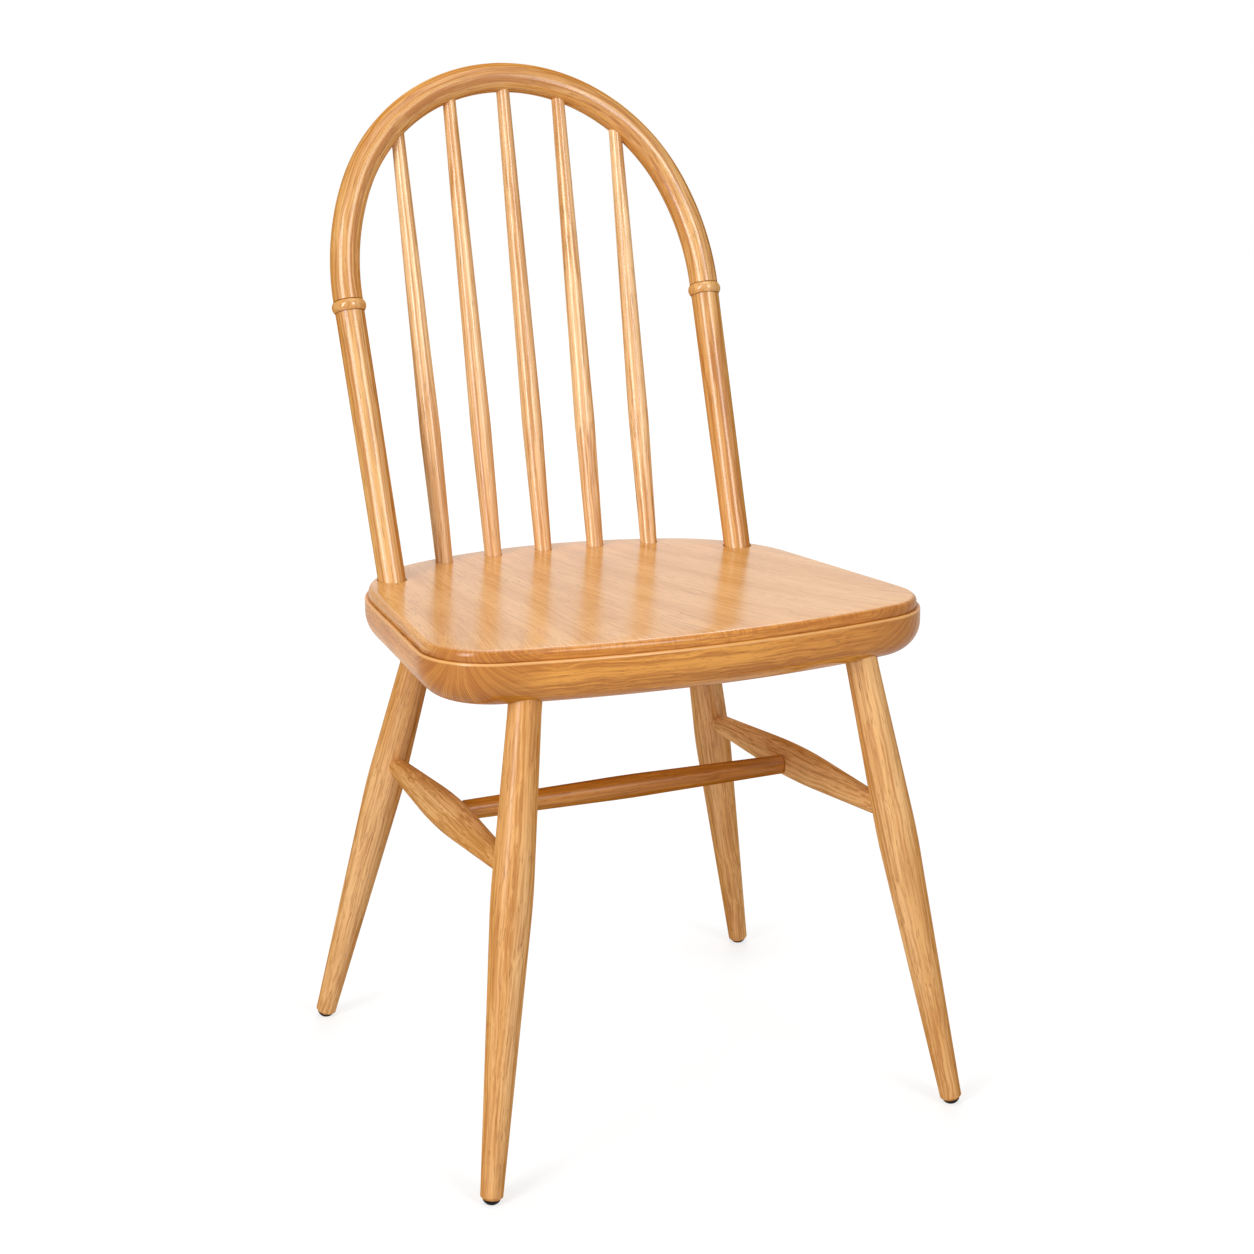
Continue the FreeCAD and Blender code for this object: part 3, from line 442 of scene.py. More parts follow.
def straight_wood(
    name: str, axis: Axis, grain: Grain, lacquer: Lacquer, joint_shade_ends: Pair
) -> bpy.types.Material:
    """Make a lacquered finish whose fibres run along one straight axis.

    Args:
        name: the material's name.
        axis: the way the fibres run.
        grain: the wood.
        lacquer: the gloss over it.
        joint_shade_ends: the heights along the axis beyond which a thin dark line of painted shade shows at
            a joint.

    Returns:
        The material.
    """
    material, loom = new_finish(name)
    sockets = {"Vector": loom.object_place(), "Location": axis.start, "Rotation": axis.turn}
    along = loom.add("ShaderNodeMapping", {"vector_type": "TEXTURE"}, sockets)
    colour, height = grain.paint(loom, along)
    low, high = joint_shade_ends
    # Painted shade: a thin dark band just inside each end, where the piece meets its neighbour.
    joint_shade = along.axis("Z").eased(low + JOINT_SHADE_WIDTH, low)
    joint_shade = joint_shade + along.axis("Z").eased(high - JOINT_SHADE_WIDTH, high)
    colour = loom.tint(joint_shade * SEAM_SHADE, colour, grain.tones.pore)
    lacquer.coat_over(loom, colour, height)
    return material


def bent_wood(name: str, grain: Grain) -> bpy.types.Material:
    """Make a lacquered finish whose fibres follow the grain attribute of a piece.

    Args:
        name: the material's name.
        grain: the wood.

    Returns:
        The material.
    """
    material, loom = new_finish(name)
    settings = {"attribute_type": "GEOMETRY", "attribute_name": GRAIN}
    along = loom.add("ShaderNodeAttribute", settings, {}, "Vector")
    GLOSSY.coat_over(loom, *grain.paint(loom, along))
    return material


@dataclass(frozen=True)
class GlidePlastic:
    """The moulded glides' finish: near black, with a fine uneven skin."""

    name: str = "glide_plastic"
    dark: Colour = srgb(6, 6, 6)
    pale: Colour = srgb(16, 15, 14)
    skin_scale: float = 900.0
    roughness: Pair = (0.35, 0.55)
    shine: float = 0.08
    bump: float = 0.3
    relief: float = 0.0001

    def make(self) -> bpy.types.Material:
        """Make the finish.

        Returns:
            The material.
        """
        material, loom = new_finish(self.name)
        skin = loom.noise(loom.object_place() * self.skin_scale, 2.0)
        loom.surface({
            "Base Color": loom.tint(skin, self.dark, self.pale),
            "Roughness": skin.between(0.0, 1.0, *self.roughness),
            "Specular IOR Level": self.shine,
            "Normal": loom.bump(skin, self.bump, self.relief),
        })
        return material


@dataclass(frozen=True)
class NailSteel:
    """The nails' finish: plain steel with faint marks of drawing."""

    name: str = "nail_steel"
    dark: Colour = srgb(160, 160, 162)
    pale: Colour = srgb(196, 196, 198)
    mark_scale: Triple = (2500.0, 2500.0, 200.0)
    roughness: Pair = (0.3, 0.5)

    def make(self) -> bpy.types.Material:
        """Make the finish.

        Returns:
            The material.
        """
        material, loom = new_finish(self.name)
        marks = loom.noise(loom.object_place() * self.mark_scale, 2.0)
        loom.surface({
            "Base Color": loom.tint(marks, self.dark, self.pale),
            "Metallic": 1.0,
            "Roughness": marks.between(0.0, 1.0, *self.roughness),
        })
        return material


def finish_piece(piece: bpy.types.Object, node: str) -> None:
    """Say what a new piece rides on and what it stands for.

    Args:
        piece: the piece.
        node: the CAD node that it replaces.
    """
    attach(piece, "root")
    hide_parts(node)
    LOG.info("%s: %d faces, for %s", piece.name, len(piece.data.polygons), node)


def link_data(name: str, data: bpy.types.ID) -> bpy.types.Object:
    """Put a mesh, a lamp or a camera in the scene.

    Args:
        name: the object's name.
        data: what it shows.

    Returns:
        The object, at the origin.
    """
    thing = bpy.data.objects.new(name, data)
    bpy.context.scene.collection.objects.link(thing)
    return thing


def smooth_mesh(mesh: bpy.types.Mesh, degrees: float) -> None:
    """Shade a mesh smoothly, with its edges kept sharp where they turn more than some degrees."""
    mesh.shade_smooth()
    mesh.set_sharp_from_angle(angle=math.radians(degrees))


def settled(source: bpy.types.Object, name: str) -> bpy.types.Object:
    """Turn an object with live modifiers into a plain one.

    Args:
        source: the object, which is removed.
        name: the plain object's name.

    Returns:
        An object at the origin whose mesh is the source's result.
    """
    graph = bpy.context.evaluated_depsgraph_get()
    result = source.evaluated_get(graph)
    mesh = bpy.data.meshes.new_from_object(result, preserve_all_data_layers=True, depsgraph=graph)
    bpy.data.objects.remove(source)
    mesh.name = name
    return link_data(name, mesh)


class RodTree:
    """Geometry nodes that draw a round rod along a path, with its grain kept from end to end."""

    sharp_edge: float = 40.0

    def __init__(self, name: str, inputs: Mapping[str, str]) -> None:
        """Start the tree.

        Args:
            name: the tree's name.
            inputs: each input's name and socket type.
        """
        self.tree = bpy.data.node_groups.new(name, "GeometryNodeTree")
        self.tree.is_modifier = True
        interface = self.tree.interface
        interface.new_socket("Geometry", in_out="OUTPUT", socket_type="NodeSocketGeometry")
        self.identifiers: Dict[str, str] = {}
        shared = {"Finish": "NodeSocketMaterial", "Steps": "NodeSocketInt", "Sides": "NodeSocketInt"}
        for label, kind in {**inputs, **shared}.items():
            socket = interface.new_socket(label, in_out="INPUT", socket_type=kind)
            self.identifiers[label] = socket.identifier
        self.loom = Loom(self.tree)
        self.inputs = self.loom.add("NodeGroupInput", {}, {})
        line = {"Start": (0.0, 0.0, 0.0), "End": (0.0, 0.0, 1.0)}
        path = self.loom.add("GeometryNodeCurvePrimitiveLine", {}, line)
        sockets = {"Curve": path, "Count": self.input("Steps")}
        self.path = self.loom.add("GeometryNodeResampleCurve", {}, sockets)
        self.share = self.loom.add("GeometryNodeSplineParameter", {}, {}, "Factor")

    def input(self, label: str) -> Wire:
        """Return one of the tree's inputs."""
        return self.inputs.output(label)

    def store(self, geometry: Wire, name: str, kind: str, value: Wire) -> Wire:
        """Keep a value on every point of a geometry, under a name."""
        sockets = {"Geometry": geometry, "Name": name, "Value": value}
        return self.loom.add("GeometryNodeStoreNamedAttribute", {"data_type": kind}, sockets)

    def recall(self, name: str, kind: str) -> Wire:
        """Return a value that was stored under a name."""
        return self.loom.add("GeometryNodeInputNamedAttribute", {"data_type": kind}, {"Name": name})

    def close(self, place: Wire, along: Wire, radius: Wire) -> None:
        """Sweep the rod and end the tree.

        Args:
            place: where each point of the path is.
            along: how far along the fibres it is.
            radius: the rod's radius there.
        """
        loom = self.loom
        path = self.store(self.path, "along", "FLOAT", along)
        path = self.store(path, "girth", "FLOAT", radius)
        path = loom.add("GeometryNodeSetPosition", {}, {"Geometry": path, "Position": place})
        circle = {"Resolution": self.input("Sides"), "Radius": 1.0}
        round_path = loom.add("GeometryNodeCurvePrimitiveCircle", {"mode": "RADIUS"}, circle)
        position = loom.add("GeometryNodeInputPosition", {}, {})
        profile = self.store(round_path, "across", "FLOAT_VECTOR", position)
        girth = self.recall("girth", "FLOAT")
        swept = {"Curve": path, "Profile Curve": profile, "Scale": girth, "Fill Caps": True}
        rod = loom.add("GeometryNodeCurveToMesh", {}, swept)
        across = self.recall("across", "FLOAT_VECTOR") * loom.vector(girth, girth, 0.0)
        fibre = across + loom.vector(0.0, 0.0, self.recall("along", "FLOAT"))
        rod = self.store(rod, GRAIN, "FLOAT_VECTOR", fibre)
        for spare in ("along", "girth", "across"):
            rod = loom.add("GeometryNodeRemoveAttribute", {}, {"Geometry": rod, "Name": spare})
        rod = loom.add("GeometryNodeRealizeInstances", {}, {"Geometry": rod})
        sockets = {"Geometry": rod, "Material": self.input("Finish")}
        rod = loom.add("GeometryNodeSetMaterial", {}, sockets)
        loom.add("NodeGroupOutput", {}, {0: rod})

    def make(self, name: str, values: Mapping[str, Any]) -> bpy.types.Object:
        """Run the tree once.

        Args:
            name: the new piece's name.
            values: a value for each of the tree's inputs.

        Returns:
            The piece, with a plain smooth mesh.
        """
        source = link_data(f"{name}_path", bpy.data.meshes.new(f"{name}_path"))
        modifier = source.modifiers.new(self.tree.name, "NODES")
        modifier.node_group = self.tree
        for label, value in values.items():
            modifier[self.identifiers[label]] = value
        piece = settled(source, name)
        smooth_mesh(piece.data, self.sharp_edge)
        return piece


@dataclass(frozen=True)
class Swelling:
    """A taper up to a curved thickest place, and a taper beyond it."""

    foot: float
    foot_at: float
    thick: float
    thick_at: float
    curve: float
    head: float
    head_at: float

    def touch(self, radius: float, height: float, way: float) -> Pair:
        """Find where a taper meets the curve of the thickest place.

        Args:
            radius: radius of the taper's other end.
            height: height of the taper's other end.
            way: 1 for the lower taper, -1 for the upper one.

        Returns:
            The radius and the height of the meeting point.
        """
        centre = Vector((self.thick - self.curve, self.thick_at))
        away = Vector((radius, height)) - centre
        angle = math.atan2(away.y, away.x) + way * math.acos(self.curve / away.length)
        return centre.x + self.curve * math.cos(angle), centre.y + self.curve * math.sin(angle)


@dataclass
class Spindles:
    """Five slim turned spindles, from the seat's curved row up to the bow."""

    spacing_low: float = 0.0526
    spacing_high: float = 0.0552
    row_y: float = 0.1536
    row_radius: float = 0.440
    foot: float = 0.0080
    thick: float = 0.0096
    thick_at: float = 0.120
    curve: float = 0.500
    head: float = 0.0062
    socket: float = 0.028
    reach: float = 0.003
    land: float = 0.008
    steps: int = 160
    sides: int = 40
    first_seed: int = 11
    places: Dict[str, int] = field(default_factory=lambda: {
        "spindle_outer_left": -2,
        "spindle_inner_left": -1,
        "spindle_centre": 0,
        "spindle_inner_right": 1,
        "spindle_outer_right": 2,
    })

    def axis(self, step: int, bow: "Bow") -> Axis:
        """Find a spindle's axis.

        Args:
            step: the spindle's place, counted from the middle one.
            bow: the bow that it reaches.

        Returns:
            The axis from the seat's top to the bow's own axis.
        """
        low, high = step * self.spacing_low, step * self.spacing_high
        back = self.row_y - self.row_radius + math.sqrt(self.row_radius ** 2 - low ** 2)
        return Axis((low, back, bow.base[2]), bow.point(high, bow.height_at(high)))

    def tree(self) -> RodTree:
        """Build the nodes of a turned rod: two tapers that touch a curve between them.

        Returns:
            The tree.
        """
        floats = ("Start At", "End At", "Low Radius", "Low At", "Touch Radius", "Touch At")
        floats += ("Leave Radius", "Leave At", "High Radius", "High At", "Curve", "Thick", "Thick At")
        inputs = {"Foot": "NodeSocketVector", "Way": "NodeSocketVector"}
        inputs.update({name: "NodeSocketFloat" for name in floats})
        rod = RodTree("turned rod", inputs)
        get, loom = rod.input, rod.loom
        along = get("Start At") + rod.share * (get("End At") - get("Start At"))

        def taper(low: str, high: str) -> Wire:
            """Return the radius of one straight taper, held beyond its ends."""
            ends = [get(f"{end} {kind}") for kind in ("At", "Radius") for end in (low, high)]
            return loom.add("ShaderNodeMapRange", {"clamp": True}, dict(enumerate([along, *ends])))

        kept = along.do("MAXIMUM", get("Touch At")).do("MINIMUM", get("Leave At")) - get("Thick At")
        swell = (get("Curve") ** 2.0 - kept ** 2.0).do("SQRT") - get("Curve") + get("Thick")
        lower, upper = taper("Low", "Touch"), taper("Leave", "High")
        radius = lower + swell - get("Touch Radius") + upper - get("Leave Radius")
        rod.close(get("Foot") + get("Way") * loom.vector(along, along, along), along, radius)
        return rod

    def make(self, bow: "Bow") -> None:
        """Make the five spindles and dress them.

        Args:
            bow: the bow that they reach.
        """
        tree = self.tree()
        for seed, (name, step) in enumerate(self.places.items(), start=self.first_seed):
            axis = self.axis(step, bow)
            run = axis.length
            shape = Swelling(
                foot=self.foot,
                foot_at=self.land / 2,
                thick=self.thick,
                thick_at=self.thick_at,
                curve=self.curve,
                head=self.head,
                head_at=run - bow.rod - self.land,
            )
            touch = shape.touch(shape.foot, shape.foot_at, 1.0)
            leave = shape.touch(shape.head, shape.head_at, -1.0)
            piece = tree.make(name + "_turned", {
                "Foot": axis.start,
                "Way": tuple((Vector(axis.end) - Vector(axis.start)).normalized()),
                "Start At": -self.socket,
                "End At": run + self.reach,
                "Low Radius": shape.foot,
                "Low At": shape.foot_at,
                "Touch Radius": touch[0],
                "Touch At": touch[1],
                "Leave Radius": leave[0],
                "Leave At": leave[1],
                "High Radius": shape.head,
                "High At": shape.head_at,
                "Curve": shape.curve,
                "Thick": shape.thick,
                "Thick At": shape.thick_at,
                "Finish": bent_wood(f"{name}_wood", Grain(SPINDLE_TONES, Cut.CLEFT, seed)),
                "Steps": self.steps,
                "Sides": self.sides,
            })
            finish_piece(piece, name)


@dataclass
class Bow:
    """The bent bow: a crown, a side bend above each collar, and a tenon down into each post."""

    base: Triple = (0.0, 0.089, 0.445)
    rake: float = math.radians(19.2)
    rise: float = 0.4633
    side_turn: float = math.radians(25.6)
    post_x: float = 0.1746
    collar_x: float = 0.1798
    collar_rise: float = 0.251
    collar_height: float = 0.0105
    rod: float = 0.0135
    tenon: float = 0.0090
    tenon_length: float = 0.042
    shoulder: float = 0.001
    steps: int = 560
    sides: int = 48
    seed: float = 5.0

    @property
    def lean(self) -> float:
        """How far a post leans outwards, in the plane of the back."""
        return math.atan2(self.collar_x - self.post_x, self.collar_rise)

    @property
    def radii(self) -> Pair:
        """Work out the two bends from the bow's width, rise and side angle.

        Returns:
            The radius of the side bend and that of the crown.
        """
        foot_x = self.collar_x + self.collar_height / 2 * math.sin(self.lean)
        height = self.rise - self.collar_rise - self.collar_height / 2 * math.cos(self.lean)
        meeting = self.side_turn - self.lean
        side_x = math.cos(self.lean) - math.cos(meeting)
        side_up = math.sin(self.lean) + math.sin(meeting)
        crown_x, crown_up = math.cos(meeting), 1.0 - math.sin(meeting)
        both = side_x * crown_up - side_up * crown_x
        side = (foot_x * crown_up - height * crown_x) / both
        crown = (side_x * height - side_up * foot_x) / both
        return side, crown

    def point(self, x: float, up: float) -> Triple:
        """Return the place of a point of the back's leaning plane."""
        return (x, self.base[1] + up * math.sin(self.rake), self.base[2] + up * math.cos(self.rake))

    def height_at(self, x: float) -> float:
        """Return how far up the rake the crown's axis is at that distance from the middle."""
        crown = self.radii[1]
        return self.rise - crown + math.sqrt(crown ** 2 - x ** 2)

    def tree(self) -> RodTree:
        """Build the nodes of the bent rod: its path is worked out from the middle outwards.

        Returns:
            The tree.
        """
        floats = ("Crown Radius", "Side Radius", "Crown Run", "Side Run", "Tenon Run")
        floats += ("Rod Radius", "Tenon Radius", "Rise", "Rake", "Shoulder")
        inputs = {"Base": "NodeSocketVector", **{name: "NodeSocketFloat" for name in floats}}
        rod = RodTree("bent rod", inputs)
        get, loom = rod.input, rod.loom
        half = get("Crown Run") + get("Side Run") + get("Tenon Run")
        along = (rod.share * 2.0 - 1.0) * half
        run = along.do("ABSOLUTE")
        crown_run = run.do("MINIMUM", get("Crown Run"))
        side_run = (run - get("Crown Run")).do("MAXIMUM", 0.0).do("MINIMUM", get("Side Run"))
        tenon_run = (run - get("Crown Run") - get("Side Run")).do("MAXIMUM", 0.0)
        first = crown_run / get("Crown Radius")
        last = first + side_run / get("Side Radius")
        x = get("Crown Radius") * first.do("SINE") + tenon_run * last.do("COSINE")
        x = x + get("Side Radius") * (last.do("SINE") - first.do("SINE"))
        fall = get("Crown Radius") * (1.0 - first.do("COSINE")) + tenon_run * last.do("SINE")
        fall = fall + get("Side Radius") * (first.do("COSINE") - last.do("COSINE"))
        up = get("Rise") - fall
        back, high = up * get("Rake").do("SINE"), up * get("Rake").do("COSINE")
        place = get("Base") + loom.vector(x * along.do("SIGN"), back, high)
        on_tenon = (tenon_run / get("Shoulder")).do("MINIMUM", 1.0)
        radius = get("Rod Radius") + on_tenon * (get("Tenon Radius") - get("Rod Radius"))
        rod.close(place, along, radius)
        return rod

    def make(self) -> None:
        """Make the bow and dress it."""
        side, crown = self.radii
        piece = self.tree().make("back_bow_bent", {
            "Base": self.base,
            "Crown Radius": crown,
            "Side Radius": side,
            "Crown Run": crown * (math.pi / 2 - self.side_turn + self.lean),
            "Side Run": side * self.side_turn,
            "Tenon Run": self.tenon_length,
            "Rod Radius": self.rod,
            "Tenon Radius": self.tenon,
            "Rise": self.rise,
            "Rake": self.rake,
            "Shoulder": self.shoulder,
            "Finish": bent_wood("back_bow_wood", Grain(BACK_TONES, Cut.BENT, self.seed)),
            "Steps": self.steps,
            "Sides": self.sides,
        })
        finish_piece(piece, "back_bow")


@dataclass
class TurnedFrame:
    """Legs, stretchers, posts and collars: CAD nodes that keep their shape and get their grain."""

    underside: float = 0.396
    seat_top: float = 0.445
    front_foot: Pair = (0.2192, -0.2455)
    front_head: Pair = (0.1561, -0.1790)
    rear_foot: Pair = (0.2260, 0.1775)
    rear_head: Pair = (0.1372, 0.1054)
    stretcher_height: float = 0.2625
    out_of_sight: float = 1.0
    first_seed: int = 31

    def leg(self, foot: Pair, head: Pair) -> Axis:
        """Return a right-hand leg's axis."""
        return Axis((*foot, 0.0), (*head, self.underside))

    def joint(self, leg: Axis) -> Triple:
        """Return where the side stretcher meets a leg's axis."""
        share = self.stretcher_height / self.underside
        return tuple(Vector(leg.start).lerp(Vector(leg.end), share))

    def axes(self, bow: Bow) -> Dict[str, Axis]:
        """Find the axis of every turned CAD node.

        Args:
            bow: the bow, whose collars the posts reach.

        Returns:
            Each axis, by its node's name.
        """
        front, rear = self.leg(self.front_foot, self.front_head), self.leg(self.rear_foot, self.rear_head)
        side = Axis(self.joint(rear), self.joint(front))
        middle = tuple((Vector(side.start) + Vector(side.end)) / 2)
        post = Axis((bow.post_x, bow.base[1], self.seat_top), bow.point(bow.collar_x, bow.collar_rise))
        right = {
            "front_right_leg": front,
            "rear_right_leg": rear,
            "right_side_stretcher": side,
            "right_back_post": post,
            "right_collar": post,
        }
        both = {name.replace("right", "left"): axis.mirrored() for name, axis in right.items()}
        cross = Axis((-middle[0], middle[1], middle[2]), middle)
        return {**right, **both, "cross_stretcher": cross}

    def joint_shade_ends(self, name: str, axis: Axis, bow: Bow) -> Pair:
        """Find where painted shade darkens a node at its joints.

        Args:
            name: the node's name.
            axis: its axis.
            bow: the bow, whose collars hide the posts' heads.

        Returns:
            The two heights along the axis beyond which the painted joint shade shows.
        """
        half = bow.collar_height / 2
        if name.endswith("_collar"):
            return axis.length - half, axis.length + half
        if name.endswith("_post"):
            return -self.out_of_sight, axis.length - half
        return -self.out_of_sight, axis.length + self.out_of_sight

    @staticmethod
    def wood(name: str, seed: int) -> Tuple[Grain, Lacquer]:
        """Choose a node's wood and the gloss over it.

        Args:
            name: the node's name.
            seed: what sets its grain apart.

        Returns:
            The grain and the lacquer.
        """
        if name.endswith("_post"):
            return Grain(BACK_TONES, Cut.CLEFT, seed), GLOSSY
        if name.endswith("_collar"):
            return Grain(BACK_TONES, Cut.PLANK, seed), BRIGHT
        # The cross stretcher takes the darker copy as painted shade from the seat above it.
        tones = UNDER_SEAT_SHADE_TONES if name == "cross_stretcher" else LEG_TONES
        return Grain(tones, Cut.LEG, seed), SATIN

    def make(self, bow: Bow) -> None:
        """Give every turned CAD node its own wood.

        Args:
            bow: the bow, whose collars the posts reach.
        """
        for seed, (name, axis) in enumerate(self.axes(bow).items(), start=self.first_seed):
            grain, lacquer = self.wood(name, seed)
            # Where the thin line of painted shade goes at the node's joints.
            joint_shade_ends = self.joint_shade_ends(name, axis, bow)
            dress_node(name, straight_wood(f"{name}_wood", axis, grain, lacquer, joint_shade_ends))


def dress_node(name: str, finish: bpy.types.Material) -> None:
    """Give a CAD node its finish.

    Args:
        name: the node's name.
        finish: the material.
    """
    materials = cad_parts[name].data.materials
    materials.clear()
    materials.append(finish)
    LOG.info("%s: %s", name, finish.name)


@dataclass(frozen=True)
class EdgePlace:
    """Where a point of the seat's edge is: along it, down it, and past the nearer front corner."""

    run: Wire
    down: Wire
    past: Wire


@dataclass(frozen=True)
class EdgeLook:
    """How the seat's edge is painted.

    Lengths are in metres and shares go from 0 to 1. A stripe is where a mark begins, is full, is
    still full and ends, down from the field's edge.
    """

    turn_down: Pair = (0.0005, 0.004)
    wall: Pair = (0.0100, 0.0080)
    wall_past: Pair = (0.010, 0.045)
    wall_share: float = 0.85
    slant: float = 0.3
    fan_width: Pair = (0.080, 0.030)
    fan_bend: Pair = (25.0, 0.012)
    fan_grain: Pair = (0.16, 3.0)
    rays: float = 32.0
    ray_wobble: Pair = (60.0, 1.5)
    ray_edge: Pair = (-0.2, 0.9)
    ray_share: float = 0.75
    tick_scale: Pair = (520.0, 90.0)
    tick_edge: Pair = (0.46, 0.60)
    group_scale: float = 28.0
    group_edge: Pair = (0.32, 0.50)
    ticks: Stripe = (0.0, 0.0015, 0.0050, 0.0100)
    tick_past: Pair = (0.04, 0.0)
    tick_share: float = 0.5
    # Painted shade in the inner corner where the wall meets the ledge.
    groove_shade: Stripe = (0.0112, 0.0124, 0.0130, 0.0140)
    groove_shade_share: float = 0.45
    # A painted highlight along the rounded lip.
    lip_highlight: Stripe = (0.0140, 0.0152, 0.0162, 0.0175)
    lip_highlight_share: float = 0.9
    gloss: float = 0.6

    def fan(self, loom: Loom, colour: Wire, place: EdgePlace) -> Wire:
        """Show the ends of the grain as a fan round the front corners.

        Args:
            loom: the finish's nodes.
            colour: the colour so far.
            place: where on the edge a point is.

        Returns:
            The colour with the fan.
        """
        run, down, past = place.run, place.down, place.past
        turn = past.do("ARCTAN2", down * down * self.fan_bend[0] + self.fan_bend[1])
        fibres = loom.vector(turn * self.fan_grain[0], 0.0, down + past * past * self.fan_grain[1])
        fan, _ = Grain(END_TONES, Cut.EDGE, seed=3.0, fleck=0.2).paint(loom, fibres)
        scale, depth = self.ray_wobble
        wobble = loom.noise(loom.vector(run * scale, down * scale, 0.0), 1.0) * depth
        rays = ((turn * self.rays + wobble) * FULL_TURN).do("SINE").eased(*self.ray_edge)
        fan = loom.tint(rays * self.ray_share, fan, END_TONES.brown)
        return loom.tint(past.do("ABSOLUTE").eased(*self.fan_width), colour, fan)

    def trim(self, loom: Loom, colour: Wire, place: EdgePlace) -> Wire:
        """Add the cut fibres along the front, painted shade in the corner above the ledge and a painted
        highlight along the lip.

        Args:
            loom: the finish's nodes.
            colour: the colour so far.
            place: where on the edge a point is.

        Returns:
            The colour with the trim.
        """
        run, down = place.run, place.down
        strokes = loom.vector(run * self.tick_scale[0], down * self.tick_scale[1], 0.0)
        groups = loom.noise(loom.vector(run * self.group_scale, 0.0, 0.0), 2.0)
        ticks = loom.noise(strokes, 1.0).between(*self.tick_edge) * groups.eased(*self.group_edge)
        ticks = ticks * down.inside(*self.ticks) * place.past.eased(*self.tick_past)
        colour = loom.tint(ticks * self.tick_share, colour, EDGE_TONES.brown)
        # Painted shade along the corner above the ledge.
        colour = loom.tint(down.inside(*self.groove_shade) * self.groove_shade_share, colour, EDGE_TONES.pore)
        # A painted highlight along the lip.
        return loom.tint(down.inside(*self.lip_highlight) * self.lip_highlight_share, colour, SEAT_TONES.pale)


